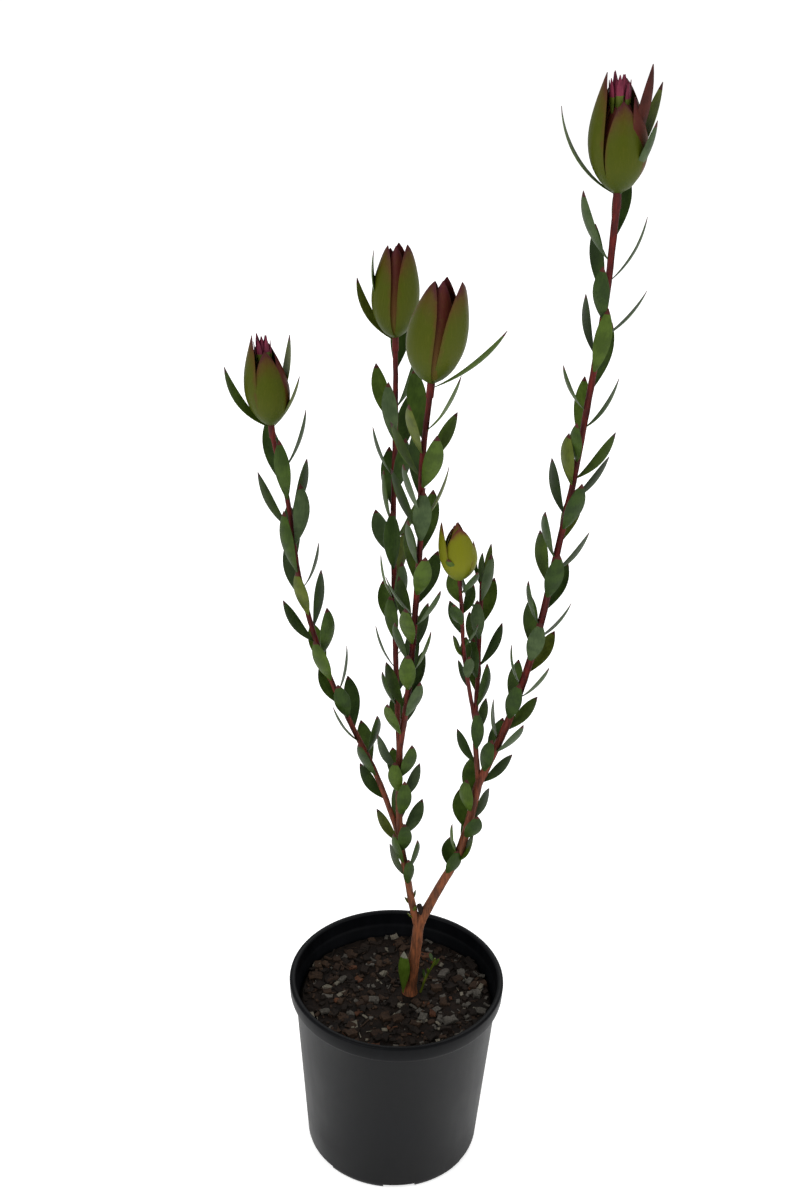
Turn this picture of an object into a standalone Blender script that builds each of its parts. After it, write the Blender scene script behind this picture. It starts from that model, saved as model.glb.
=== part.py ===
"""A young conebush shrub in its nursery pot.

Four upright stems fork from one short trunk, each clothed in leaves set by the
golden angle and closed by a goblet of bracts. Metres, +Z up. The origin is the
centre of the pot's flat underside.
"""

from dataclasses import dataclass
from math import acos, cos, pi, radians, sin, sqrt
from random import Random

import bmesh
import bpy
from mathutils import Matrix, Vector, noise
from mathutils.bvhtree import BVHTree
from mathutils.geometry import interpolate_bezier

MM = 0.001
UP = Vector((0.0, 0.0, 1.0))
ACROSS = Vector((1.0, 0.0, 0.0))
GAP = 0.3 * MM  # between neighbouring pieces

# The pot
POT_HEIGHT = 133.0 * MM
POT_RIM_RADIUS = 70.0 * MM
POT_RIM_BAND = 11.5 * MM
POT_LIP_WIDTH = 4.0 * MM
POT_BODY_RADIUS = 66.0 * MM  # just under the rim
POT_BASE_RADIUS = 56.8 * MM
POT_WALL = 1.6 * MM
POT_FLOOR = 2.0 * MM
POT_SIDES = 48
NOTCH_COUNT = 6
NOTCH_WIDTH = 21.0 * MM
NOTCH_HEIGHT = 3.5 * MM
NOTCH_INNER_RADIUS = 52.0 * MM
NOTCH_TURN = radians(-84.0)

# The potting mix
SOIL_LEVEL = 116.0 * MM
SOIL_RINGS = 7
SOIL_ROUGHNESS = 1.6 * MM
SOIL_LUMP = 14.0 * MM
SOIL_CALM_RADIUS = 9.0 * MM  # level round the trunk's foot

# The trunk and its two limbs
FOOT = Vector((9.0, 3.7, 0.0)) * MM
TRUNK_POINTS = (
    (8.6, 3.9, 112.0),
    (10.2, 3.1, 130.0),
    (12.2, 1.9, 158.0),
    (13.6, 0.9, 175.0),
    (18.0, 0.0, 187.6),
)
TRUNK_FOOT_RADIUS = 4.0 * MM
TRUNK_TOP_RADIUS = 3.3 * MM
FLARE_HEIGHT = 9.0 * MM
FLARE_EXTRA = 1.6 * MM
STUB_POINTS = ((15.4, 0.0, 183.0), (12.9, -1.8, 192.0))
STUB_RADIUS = 1.9 * MM
LIMB_LEFT_POINTS = ((13.0, 1.0, 172.0), (10.6, 0.4, 181.0), (7.4, 0.0, 197.0))
LIMB_LEFT_RADII = (2.6 * MM, 2.3 * MM)
LIMB_RIGHT_POINTS = ((18.2, 0.0, 187.9), (21.4, 0.0, 196.0), (25.4, 0.0, 205.5))
LIMB_RIGHT_RADII = (3.2 * MM, 2.95 * MM)

# The old leaf that clasps the trunk's foot
FOOT_LEAF_ROOT = (4.6, -1.4, 119.5)
FOOT_LEAF_ANGLE = 250.0
FOOT_LEAF_LENGTH = 35.0
FOOT_LEAF_WIDTH = 8.0
FOOT_LEAF_TILT = (3.0, 0.0)

# The blades
LEAF_SIDES = 4
LEAF_RINGS = 4
LEAF_THICKNESS = 0.9 * MM
CLEARANCE = 0.5 * MM  # kept between a leaf and another node
BRACT_SIDES = 6
BRACT_RINGS = 6
BRACT_THICKNESS = 1.3 * MM
PATH_STEPS = 12  # between two of a path's points
STEM_STEP = 9.0 * MM

# Spread of the seeded rule
TURN_SPREAD = radians(22.0)
TILT_SPREAD = radians(9.0)
LENGTH_SPREAD = 0.12
TWIST_SPREAD = radians(28.0)
STEEPER = radians(11.0)  # by which the leaves on the light's side stand steeper
LONGER = 0.14  # and the share by which they are longer
SLIMMER = 0.92

# The young leaves round a tip
GOLDEN_ANGLE = 137.5
TUFT_PHASE = 40.0
TUFT_LENGTH = 26.0
TUFT_WIDTH = 5.5

# A head, as shares of its height or radius
NECK_LENGTH = 8.0 * MM
BUD_NECK_LENGTH = 4.0 * MM
CORE_HEIGHT = 0.86
TOOTH_FOOT = 0.6
TOOTH_OUT = 0.32
TOOTH_LENGTH = 0.33
TOOTH_STEP = 0.03
TOOTH_WIDTH = 4.5 * MM


@dataclass(frozen=True)
class Shoot:
    """One leafy stem: its line in mm, its radii in mm and the rule of its leaves."""

    name: str
    points: tuple
    radii: tuple
    phase: float  # compass angle of the first leaf, in degrees
    turn: float  # from one leaf to the next, in degrees
    spacing: tuple  # mm along the stem, at its foot and at its head
    first: float  # mm from the foot to the first leaf
    bare: float  # mm without leaves below the head
    length: tuple
    width: float
    tilt: tuple  # degrees off the axis, at the leaf's root and at its tip
    rise: float  # share by which leaves lean to the vertical
    seed: int
    parents: tuple = ()  # the stems that its foot stands against
    tuft: int = 0  # young leaves round the tip
    loose: float = 1.0  # share of the spread that the seeded rule gives its leaves


@dataclass(frozen=True)
class Head:
    """One closed head of bracts: mm and degrees."""

    name: str
    base: tuple
    top: tuple
    radius: float
    stem_radius: float
    bracts: tuple  # compass angle, share of the height, width, share of the radius at the tip
    teeth: int
    rays: tuple  # compass angle, drop below the base, length, width, tilt at root, at tip, twist


SHOOTS = (
    Shoot(
        "foliage_middle_lower",
        ((7.3, 0.0, 197.4), (4.2, 0.0, 216.0), (-0.4, 0.0, 241.7), (-2.2, 0.0, 274.4), (-2.7, 0.0, 307.2)),
        (2.3, 2.0), 279.0, -141.4, (5.1, 5.8), 9.7, 9.4, (24.0, 29.0), 10.4, (50.0, 8.0), 0.23, 9380,
    ),
    Shoot(
        "foliage_left",
        ((-0.7, 0.0, 242.7), (-16.0, 3.8, 285.6), (-35.6, 8.4, 327.0), (-52.9, 13.3, 369.3),
         (-64.8, 18.6, 413.3), (-71.6, 24.1, 458.5), (-80.9, 29.6, 498.5)),
        (1.8, 1.4), 219.0, -136.8, (8.5, 9.2), 2.9, 10.0, (27.0, 40.0), 11.4, (46.0, 6.0), 0.45, 2719,
        ("foliage_middle_lower",),
    ),
    Shoot(
        "foliage_front",
        ((-2.65, 0.0, 307.6), (1.7, -6.9, 358.1), (3.6, -15.1, 409.1), (5.0, -24.2, 459.9),
         (4.4, -34.2, 510.6), (7.0, -44.0, 555.0)),
        (1.95, 1.6), 230.0, -141.1, (6.7, 7.9), 12.0, 6.0, (30.0, 42.0), 11.7, (43.0, 11.0), 0.22, 9048,
    ),
    Shoot(
        "foliage_rear",
        ((-2.7, 0.0, 304.0), (-6.1, 7.9, 356.2), (-8.6, 17.3, 405.3), (-10.6, 27.5, 454.2),
         (-10.8, 38.5, 503.1), (-12.1, 49.0, 546.0)),
        (1.7, 1.5), 248.0, -136.1, (7.5, 10.9), 9.4, 8.8, (26.0, 40.0), 11.8, (46.0, 7.0), 0.23, 1200457,
        ("foliage_middle_lower", "foliage_front"),
    ),
    Shoot(
        "foliage_right_lower",
        ((25.5, 0.0, 205.8), (32.0, 0.0, 220.5), (37.1, 0.0, 234.7), (42.3, 0.0, 258.9), (45.9, 0.0, 283.4)),
        (2.9, 2.7), 273.0, -139.4, (6.0, 6.8), 9.6, 2.4, (21.0, 32.0), 11.7, (48.0, 0.0), 0.45, 8865,
    ),
    Shoot(
        "foliage_right_middle",
        ((46.0, 0.0, 283.8), (62.5, -3.0, 334.7), (74.4, -6.6, 387.9), (81.6, -10.5, 441.8),
         (88.3, -14.8, 495.9)),
        (2.6, 1.8), 15.0, -141.4, (8.2, 9.6), 1.7, 2.0, (29.0, 36.0), 11.6, (47.0, 8.0), 0.03, 31,
        (), 0, 0.1,
    ),
    Shoot(
        "foliage_right_upper",
        ((88.35, -14.83, 496.3), (92.8, -19.5, 550.1), (96.6, -24.5, 604.3), (97.4, -29.3, 653.0)),
        (1.8, 1.9), 12.0, -133.9, (10.5, 10.8), 1.0, 10.8, (34.0, 43.0), 10.5, (49.0, 9.0), 0.0, 6627,
    ),
    Shoot(
        "foliage_inner",
        ((46.0, 0.0, 288.5), (42.6, 3.4, 321.9), (42.9, 8.4, 352.5), (42.7, 14.0, 383.0),
         (42.9, 20.0, 413.5)),
        (1.7, 1.3), 148.0, 133.5, (10.0, 7.4), 10.0, 11.3, (27.0, 30.0), 9.5, (45.0, 3.0), 0.25, 657,
        ("foliage_right_lower", "foliage_right_middle"), 4,
    ),
    Shoot(
        "foliage_bud",
        ((42.6, 7.2, 324.8), (37.5, 1.2, 352.9), (33.1, -6.0, 380.9), (30.7, -13.8, 409.0),
         (28.4, -21.2, 433.0)),
        (1.3, 1.1), 234.0, 137.3, (9.3, 8.3), 9.0, 2.9, (17.0, 23.0), 8.5, (44.0, 14.0), 0.38, 2030,
        ("foliage_inner",),
    ),
    Shoot(
        "foot_sprout",
        ((16.3, 3.9, 116.6), (17.6, 3.4, 122.0), (19.4, 2.8, 130.0), (23.6, 2.0, 141.0), (24.6, 1.6, 146.0)),
        (0.9, 0.7), 120.0, 137.5, (6.5, 5.0), 11.0, 1.0, (7.0, 9.0), 2.8, (50.0, 20.0), 0.30, 12,
    ),
)

HEADS = (
    Head(
        "head_right", (97.5, -29.4, 653.4), (93.5, -31.0, 720.0), 13.8, 2.1,
        ((-80.0, 0.78, 21.0, 0.45), (185.0, 1.00, 19.0, 0.42), (-25.0, 0.80, 16.0, 0.55),
         (50.0, 0.93, 17.0, 0.40), (120.0, 0.90, 18.0, 0.45)),
        7,
        ((182.0, 2.0, 56.0, 6.5, 62.0, 2.0, 10.0), (-25.0, -6.0, 60.0, 6.0, 26.0, 6.0, 50.0),
         (22.0, -3.0, 54.0, 10.5, 38.0, 14.0, 0.0), (-38.0, 3.0, 47.0, 9.0, 44.0, 12.0, 0.0)),
    ),
    Head(
        "head_left", (-81.0, 29.7, 498.9), (-87.0, 30.0, 560.0), 11.6, 1.9,
        ((-75.0, 0.84, 19.0, 0.42), (195.0, 1.00, 17.0, 0.40), (-5.0, 0.78, 14.0, 0.55),
         (55.0, 0.90, 15.0, 0.35), (125.0, 0.88, 16.0, 0.45)),
        6,
        ((184.0, 3.0, 47.0, 8.0, 58.0, 2.0, 25.0), (25.0, -1.0, 52.0, 10.0, 34.0, 4.0, 0.0),
         (-12.0, 3.0, 38.0, 9.0, 50.0, 14.0, 0.0)),
    ),
    Head(
        "head_rear", (-12.1, 49.1, 546.4), (-13.5, 50.5, 608.5), 12.4, 1.9,
        ((215.0, 0.98, 20.0, 0.35), (-38.0, 1.00, 17.0, 0.62), (60.0, 0.98, 16.0, 0.25),
         (130.0, 0.92, 17.0, 0.40)),
        4,
        ((195.0, -4.0, 50.0, 8.5, 42.0, -12.0, 20.0), (175.0, 3.0, 44.0, 7.0, 58.0, 4.0, 30.0)),
    ),
    Head(
        "head_front", (7.05, -44.2, 555.4), (11.5, -47.0, 620.5), 14.4, 2.1,
        ((225.0, 0.97, 21.0, 0.35), (-32.0, 1.00, 21.0, 0.75), (50.0, 0.98, 18.0, 0.22),
         (130.0, 0.92, 18.0, 0.40)),
        4,
        ((-5.0, 4.0, 52.0, 6.0, 62.0, 26.0, 40.0),),
    ),
    Head(
        "bud_inner", (28.3, -21.5, 433.4), (24.5, -22.5, 474.5), 9.0, 1.3,
        ((200.0, 1.00, 13.0, 0.85), (-75.0, 0.92, 16.0, 0.55), (0.0, 0.62, 12.0, 0.95),
         (110.0, 0.80, 12.0, 0.60)),
        0,
        ((240.0, 1.0, 22.0, 9.0, 48.0, 14.0, 0.0),),
    ),
)


def material(name: str, colour: tuple, roughness: float):
    """A plain Principled material."""
    made = bpy.data.materials.new(name)
    made.use_nodes = True
    shader = made.node_tree.nodes["Principled BSDF"]
    shader.inputs["Base Color"].default_value = (*colour, 1.0)
    shader.inputs["Roughness"].default_value = roughness
    shader.inputs["Metallic"].default_value = 0.0
    return made


class Path:
    """A smooth line through a few points, read at any distance along it."""

    def __init__(self, points: tuple):
        knots = [Vector(point) * MM for point in points]
        tangents = [(knots[min(i + 1, len(knots) - 1)] - knots[max(i - 1, 0)]) for i in range(len(knots))]
        for i in range(1, len(knots) - 1):
            tangents[i] *= 0.5
        self.points = [knots[0]]
        for i in range(len(knots) - 1):
            handles = (knots[i] + tangents[i] / 3.0, knots[i + 1] - tangents[i + 1] / 3.0)
            self.points += interpolate_bezier(knots[i], *handles, knots[i + 1], PATH_STEPS)[1:]
        self.reach = [0.0]
        for here, there in zip(self.points, self.points[1:]):
            self.reach.append(self.reach[-1] + (there - here).length)
        self.length = self.reach[-1]

    def at(self, distance: float) -> tuple:
        """The point and the direction at a distance from the foot."""
        i = 0
        while i < len(self.reach) - 2 and self.reach[i + 1] < distance:
            i += 1
        share = (distance - self.reach[i]) / (self.reach[i + 1] - self.reach[i])
        direction = (self.points[i + 1] - self.points[i]).normalized()
        return self.points[i].lerp(self.points[i + 1], share), direction


def compass(direction: Vector, angle: float) -> Vector:
    """The unit vector square to a direction at a compass angle, 0 at +X and 90 degrees at +Y."""
    east = (ACROSS - direction * direction.x).normalized()
    return east * cos(angle) + direction.cross(east) * sin(angle)


@dataclass
class Leaf:
    """One blade with a narrowed foot, rising from its root and curving in."""

    root: Vector
    axis: Vector
    outward: Vector
    length: float
    width: float
    tilt_root: float
    tilt_tip: float
    twist: float

    def place(self, along: float, side: float, thick: float, grow: float = 0.0) -> Vector:
        """A point of the blade, with side and thick from -1 to 1; grow widens it all round."""
        bend = self.tilt_tip - self.tilt_root
        bend = bend if abs(bend) > 1e-3 else 1e-3
        tilt = self.tilt_root + bend * along
        spine = self.axis * (sin(tilt) - sin(self.tilt_root))
        spine -= self.outward * (cos(tilt) - cos(self.tilt_root))
        middle = self.root + spine * (self.length / bend)
        across = self.axis.cross(self.outward)
        face = self.outward * cos(tilt) - self.axis * sin(tilt)
        half = 0.5 * self.width * max(sin(pi * along**1.3), 0.0) ** 0.8
        depth = 0.5 * LEAF_THICKNESS * (0.5 + 0.5 * sin(pi * along))
        sideways = across * cos(self.twist) + face * sin(self.twist)
        upright = face * cos(self.twist) - across * sin(self.twist)
        return middle + sideways * side * (half + grow) + upright * thick * (depth + grow)


def leaves_of(shoot: Shoot, path: Path):
    """The leaves of a shoot by the golden-angle rule, from foot to head."""
    chance = Random(shoot.seed)
    distance = shoot.first * MM
    number = 0
    while distance < path.length - shoot.bare * MM:
        share = distance / path.length
        root, direction = path.at(distance)
        draws = [shoot.loose * chance.uniform(-1.0, 1.0) for _ in range(4)]
        axis = (direction * (1.0 - shoot.rise) + UP * shoot.rise).normalized()
        outward = compass(direction, radians(shoot.phase + shoot.turn * number) + TURN_SPREAD * draws[0])
        outward = (outward - axis * outward.dot(axis)).normalized()
        lit = max(-outward.y, 0.0)
        tilt = TILT_SPREAD * draws[1] - STEEPER * lit
        length = (shoot.length[0] + (shoot.length[1] - shoot.length[0]) * share) * MM
        length *= (1.0 + LENGTH_SPREAD * draws[2]) * (1.0 + LONGER * lit)
        width = shoot.width * (0.9 + 0.1 * share) * SLIMMER * MM
        yield Leaf(root, axis, outward, length, width, radians(shoot.tilt[0]) + tilt,
                   radians(shoot.tilt[1]) + tilt, TWIST_SPREAD * draws[3])
        distance += (shoot.spacing[0] + (shoot.spacing[1] - shoot.spacing[0]) * share) * MM
        number += 1
    for young in range(shoot.tuft):
        root, direction = path.at(path.length - 2.0 * MM - young * MM)
        outward = compass(direction, radians(TUFT_PHASE + GOLDEN_ANGLE * young))
        yield Leaf(root, direction, outward, (TUFT_LENGTH - young) * MM, TUFT_WIDTH * MM,
                   radians(24.0 + 3.0 * young), radians(2.0), 0.3 * young)


@dataclass
class Bract:
    """One broad blade that wraps its head."""

    base: Vector
    axis: Vector
    angle: float
    height: float
    width: float
    radius: float
    tip_radius: float
    layer: float

    def place(self, along: float, side: float, thick: float, grow: float = 0.0) -> Vector:
        """A point of the bract, with side and thick from -1 to 1."""
        foot_radius = 2.0 * MM
        middle = foot_radius + (self.tip_radius - foot_radius) * along
        peak = 0.5 ** (1.0 / 0.72)
        bulge = self.radius - (foot_radius + (self.tip_radius - foot_radius) * peak)
        middle += bulge * sin(pi * along**0.72) + self.layer
        half = 0.5 * self.width * max(sin(pi * (0.06 + 0.94 * along) ** 0.9), 0.0) ** 0.75
        wrap = min(half / max(middle, 0.6 * half), 1.25)
        depth = 0.5 * BRACT_THICKNESS * (0.45 + 0.55 * sin(pi * along))
        outward = compass(self.axis, self.angle + wrap * side)
        return self.base + self.axis * self.height * along + outward * (middle + thick * (depth + grow))


def blade_body(blade, sides: int, rings: int, grow: float = 0.0):
    """A closed blade: a ball whose rings are carried along the blade's spine."""
    body = bmesh.new()
    bmesh.ops.create_uvsphere(body, u_segments=sides, v_segments=rings, radius=1.0)
    for vertex in body.verts:
        x, y, z = vertex.co
        round_off = sqrt(max(1.0 - z * z, 0.0))
        side = x / round_off if round_off > 1e-4 else 0.0
        thick = y / round_off if round_off > 1e-4 else 0.0
        vertex.co = blade.place(0.5 * (1.0 + z), side, -thick, grow)
    return body


def linked(name: str, mesh, collection, finish=None):
    """A new object for a mesh."""
    if finish:
        mesh.materials.clear()
        mesh.materials.append(finish)
    made = bpy.data.objects.new(name, mesh)
    collection.objects.link(made)
    return made


def body_object(name: str, body, collection):
    """A new object for a bmesh, which is freed."""
    mesh = bpy.data.meshes.new(name)
    body.to_mesh(mesh)
    body.free()
    return linked(name, mesh, collection)


def settled(made):
    """The object with its modifiers applied."""
    shape = made.evaluated_get(bpy.context.evaluated_depsgraph_get())
    mesh = bpy.data.meshes.new_from_object(shape)
    made.modifiers.clear()
    made.data = mesh
    return made


def limb(name: str, path: Path, radii: tuple, collection, extra=None, sides_level: int = 1):
    """A tapering round limb along a path, as a closed mesh."""
    curve = bpy.data.curves.new(name, "CURVE")
    curve.dimensions = "3D"
    curve.bevel_depth = 1.0
    curve.bevel_resolution = sides_level
    curve.use_fill_caps = True
    count = max(3, round(path.length / STEM_STEP) + 1)
    spline = curve.splines.new("POLY")
    spline.points.add(count - 1)
    for i, point in enumerate(spline.points):
        share = i / (count - 1)
        distance = path.length * share
        radius = radii[0] + (radii[1] - radii[0]) * share
        point.co = (*path.at(distance)[0], 1.0)
        point.radius = radius + (extra(distance) if extra else 0.0)
    tube = linked(name, curve, collection)
    bpy.context.view_layer.update()
    mesh = bpy.data.meshes.new_from_object(tube.evaluated_get(bpy.context.evaluated_depsgraph_get()))
    place = tube.matrix_world.copy()
    bpy.data.objects.remove(tube)
    body = bmesh.new()
    body.from_mesh(mesh)
    bmesh.ops.remove_doubles(body, verts=body.verts, dist=0.01 * MM)
    body.to_mesh(mesh)
    body.free()
    made = linked(name, mesh, collection)
    made.matrix_world = place
    return made


def boolean(made, operation: str, collection):
    """Joins or cuts a piece with a collection of pieces, applies it and removes them."""
    cut = made.modifiers.new(operation.lower(), "BOOLEAN")
    cut.operation = operation
    cut.operand_type = "COLLECTION"
    cut.collection = collection
    cut.solver = "EXACT"
    bpy.context.view_layer.update()
    settled(made)
    for piece in list(collection.objects):
        bpy.data.objects.remove(piece)
    return made


def keep_largest(made):
    """Drops loose scraps and the walls of sealed hollows, keeping the outer shell."""
    body = bmesh.new()
    body.from_mesh(made.data)
    bmesh.ops.remove_doubles(body, verts=body.verts, dist=0.004 * MM)
    bmesh.ops.dissolve_degenerate(body, edges=body.edges, dist=0.004 * MM)
    left = set(body.faces)
    shells = []
    while left:
        start = left.pop()
        shell = {start}
        edge = [start]
        while edge:
            face = edge.pop()
            for line in face.edges:
                for other in line.link_faces:
                    if other in left:
                        left.remove(other)
                        shell.add(other)
                        edge.append(other)
        shells.append(shell)
    shells.sort(key=lambda shell: -sum(face.calc_area() for face in shell))
    for shell in shells[1:]:
        bmesh.ops.delete(body, geom=list(shell), context="FACES")
    bmesh.ops.delete(body, geom=[v for v in body.verts if not v.link_faces], context="VERTS")
    bmesh.ops.triangulate(body, faces=body.faces)
    body.to_mesh(made.data)
    body.free()
    return made


class Builder:
    """Makes every piece of the plant in order and keeps them clear of each other."""

    def __init__(self):
        for old in list(bpy.data.objects):
            bpy.data.objects.remove(old)
        scene = bpy.context.scene
        self.parts = bpy.data.collections.new("potted_conebush_shrub")
        self.cutters = bpy.data.collections.new("cutters")
        self.joined = bpy.data.collections.new("pieces_to_join")
        for collection in (self.parts, self.cutters, self.joined):
            scene.collection.children.link(collection)
        self.plastic = material("pot_plastic", (0.026, 0.028, 0.031), 0.45)
        self.mix = material("potting_mix", (0.022, 0.014, 0.010), 0.95)
        self.bark = material("bark", (0.190, 0.050, 0.024), 0.70)
        self.leaf = material("leaf", (0.036, 0.070, 0.014), 0.50)
        self.bract = material("bract", (0.090, 0.095, 0.012), 0.50)
        self.trees = {}
        self.paths = {}

    def finish(self, made, finish):
        """Gives a finished node its material and a search tree."""
        made.data.materials.clear()
        made.data.materials.append(finish)
        self.trees[made.name] = self.tree(made)
        return made

    @staticmethod
    def tree(made) -> BVHTree:
        """A search tree of an object's faces in world space."""
        body = bmesh.new()
        body.from_mesh(made.data)
        body.transform(made.matrix_world)
        found = BVHTree.FromBMesh(body)
        body.free()
        return found

    def touches(self, blade, own: str, sides: int, rings: int) -> bool:
        """Whether a blade comes within the clearance of another node."""
        body = blade_body(blade, sides, rings, CLEARANCE)
        tree = BVHTree.FromBMesh(body)
        body.free()
        return any(name != own and tree.overlap(other) for name, other in self.trees.items())

    def turned(self, name: str, profile: list, sides: int):
        """A profile of radius and height turned about the vertical."""
        mesh = bpy.data.meshes.new(name)
        points = [(radius, 0.0, height) for radius, height in profile]
        mesh.from_pydata(points, [(i, i + 1) for i in range(len(points) - 1)], [])
        made = linked(name, mesh, self.parts)
        turn = made.modifiers.new("turn", "SCREW")
        turn.steps = sides
        turn.render_steps = sides
        turn.use_merge_vertices = True
        turn.merge_threshold = 0.01 * MM
        bpy.context.view_layer.update()
        return settled(made)

    def pot(self):
        """The nursery pot: one turned wall with a rolled lip and notches to drain."""
        under_rim = POT_HEIGHT - POT_RIM_BAND
        slope = (POT_BODY_RADIUS - POT_BASE_RADIUS) / under_rim
        inner = POT_RIM_RADIUS - POT_LIP_WIDTH
        profile = [
            (0.0, POT_FLOOR),
            (POT_BASE_RADIUS - POT_WALL - 1.5 * MM, POT_FLOOR),
            (POT_BASE_RADIUS - POT_WALL + slope * 4.0 * MM, 4.0 * MM),
            (POT_BODY_RADIUS - POT_WALL, under_rim),
            (inner, under_rim + 3.0 * MM),
            (inner, POT_HEIGHT - 1.2 * MM),
            (inner + 1.0 * MM, POT_HEIGHT),
            (POT_RIM_RADIUS - 1.4 * MM, POT_HEIGHT),
            (POT_RIM_RADIUS, POT_HEIGHT - 1.6 * MM),
            (POT_RIM_RADIUS - 0.7 * MM, under_rim + 1.2 * MM),
            (POT_RIM_RADIUS - 1.7 * MM, under_rim),
            (POT_BODY_RADIUS, under_rim - 0.6 * MM),
            (POT_BASE_RADIUS + slope * 5.0 * MM, 5.0 * MM),
            (POT_BASE_RADIUS - 0.6 * MM, 1.8 * MM),
            (POT_BASE_RADIUS - 2.6 * MM, 0.0),
            (0.0, 0.0),
        ]
        made = self.turned("pot", profile, POT_SIDES)
        reach = POT_BASE_RADIUS + 6.0 * MM - NOTCH_INNER_RADIUS
        for i in range(NOTCH_COUNT):
            body = bmesh.new()
            bmesh.ops.create_cube(body, size=1.0)
            bmesh.ops.scale(body, verts=body.verts, vec=(reach, NOTCH_WIDTH, 2.0 * NOTCH_HEIGHT))
            cutter = body_object(f"notch_{i}", body, self.cutters)
            cutter.hide_render = True
            cutter.display_type = "WIRE"
            turn = Matrix.Rotation(NOTCH_TURN + i * 2.0 * pi / NOTCH_COUNT, 4, "Z")
            cutter.matrix_world = turn @ Matrix.Translation((NOTCH_INNER_RADIUS + 0.5 * reach, 0.0, 0.0))
        boolean(made, "DIFFERENCE", self.cutters)
        made.data.shade_smooth()
        made.data.set_sharp_from_angle(angle=radians(35.0))
        self.finish(made, self.plastic)

    def potting_mix(self):
        """The filling, uneven on top and level round the trunk's foot."""
        slope = (POT_BODY_RADIUS - POT_BASE_RADIUS) / (POT_HEIGHT - POT_RIM_BAND)
        bottom = POT_FLOOR + GAP
        low = POT_BASE_RADIUS - POT_WALL - GAP
        top = low + slope * (SOIL_LEVEL - 2.0 * MM)
        profile = [(top * i / SOIL_RINGS, SOIL_LEVEL) for i in range(SOIL_RINGS + 1)]
        profile += [(low + slope * 5.0 * MM, 5.0 * MM), (low - 2.6 * MM, bottom), (0.0, bottom)]
        made = self.turned("potting_mix", profile, POT_SIDES // 2)
        for vertex in made.data.vertices:
            point = vertex.co
            away = (Vector((point.x, point.y, 0.0)) - FOOT).length
            if point.z < SOIL_LEVEL - MM or away < SOIL_CALM_RADIUS:
                continue
            point.z += SOIL_ROUGHNESS * noise.noise(point / SOIL_LUMP)
        self.finish(made, self.mix)

    def wood(self):
        """The trunk with its root flare and cut stub, and the two limbs of its fork."""
        path = Path(TRUNK_POINTS)
        foot = SOIL_LEVEL + GAP

        def flare(distance: float) -> float:
            height = max(path.at(distance)[0].z - foot, 0.0)
            return FLARE_EXTRA * max(1.0 - height / FLARE_HEIGHT, 0.0) ** 2

        trunk = limb("trunk", path, (TRUNK_FOOT_RADIUS, TRUNK_TOP_RADIUS), self.parts, flare, 3)
        limb("stub", Path(STUB_POINTS), (STUB_RADIUS, 0.9 * STUB_RADIUS), self.joined, None, 2)
        boolean(trunk, "UNION", self.joined)
        body = bmesh.new()
        bmesh.ops.create_cube(body, size=40.0 * MM)
        block = body_object("ground_cutter", body, self.cutters)
        block.location = (FOOT.x, FOOT.y, foot - 20.0 * MM)
        block.hide_render = True
        block.display_type = "WIRE"
        boolean(trunk, "DIFFERENCE", self.cutters)
        self.finish(keep_largest(trunk), self.bark)
        self.paths["trunk"] = (path, (TRUNK_FOOT_RADIUS, TRUNK_TOP_RADIUS))

        left = limb("limb_left", Path(LIMB_LEFT_POINTS), LIMB_LEFT_RADII, self.parts, None, 2)
        self.clear_of(left, "trunk")
        self.finish(left, self.bark)
        right = limb("limb_right", Path(LIMB_RIGHT_POINTS), LIMB_RIGHT_RADII, self.parts, None, 2)
        self.finish(right, self.bark)

    def foot_leaf(self):
        """The old leaf that stands against the trunk's left side."""
        angle = radians(FOOT_LEAF_ANGLE)
        tilts = tuple(radians(tilt) for tilt in FOOT_LEAF_TILT)
        leaf = Leaf(Vector(FOOT_LEAF_ROOT) * MM, UP, compass(UP, angle), FOOT_LEAF_LENGTH * MM,
                    FOOT_LEAF_WIDTH * MM, *tilts, 0.0)
        made = body_object("foot_leaf", blade_body(leaf, BRACT_SIDES, BRACT_RINGS), self.parts)
        self.finish(made, self.leaf)

    def clear_of(self, made, parent: str):
        """Cuts a side stem free of the stem that it leaves."""
        path, radii = self.paths[parent]
        wide = tuple(radius + GAP for radius in radii)
        cutter = limb("stem_cutter", path, wide, self.cutters, None, 3)
        cutter.hide_render = True
        cutter.display_type = "WIRE"
        boolean(made, "DIFFERENCE", self.cutters)
        keep_largest(made)

    def shoots(self):
        """Every leafy stem: all stems first, then leaves that touch no other node."""
        stems = {}
        for shoot in SHOOTS:
            path = Path(shoot.points)
            radii = tuple(radius * MM for radius in shoot.radii)
            self.paths[shoot.name] = (path, radii)
            stem = limb(shoot.name, path, radii, self.parts)
            for parent in shoot.parents:
                self.clear_of(stem, parent)
            stems[shoot.name] = stem
            self.trees[shoot.name] = self.tree(stem)
        self.heads()
        skipped = 0
        for shoot in SHOOTS:
            stem = stems[shoot.name]
            for leaf in leaves_of(shoot, self.paths[shoot.name][0]):
                if self.touches(leaf, shoot.name, LEAF_SIDES, LEAF_RINGS):
                    skipped += 1
                    continue
                body_object("leaf", blade_body(leaf, LEAF_SIDES, LEAF_RINGS), self.joined)
            boolean(stem, "UNION", self.joined)
            self.finish(keep_largest(stem), self.leaf)
        print("leaves skipped:", skipped)

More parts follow.
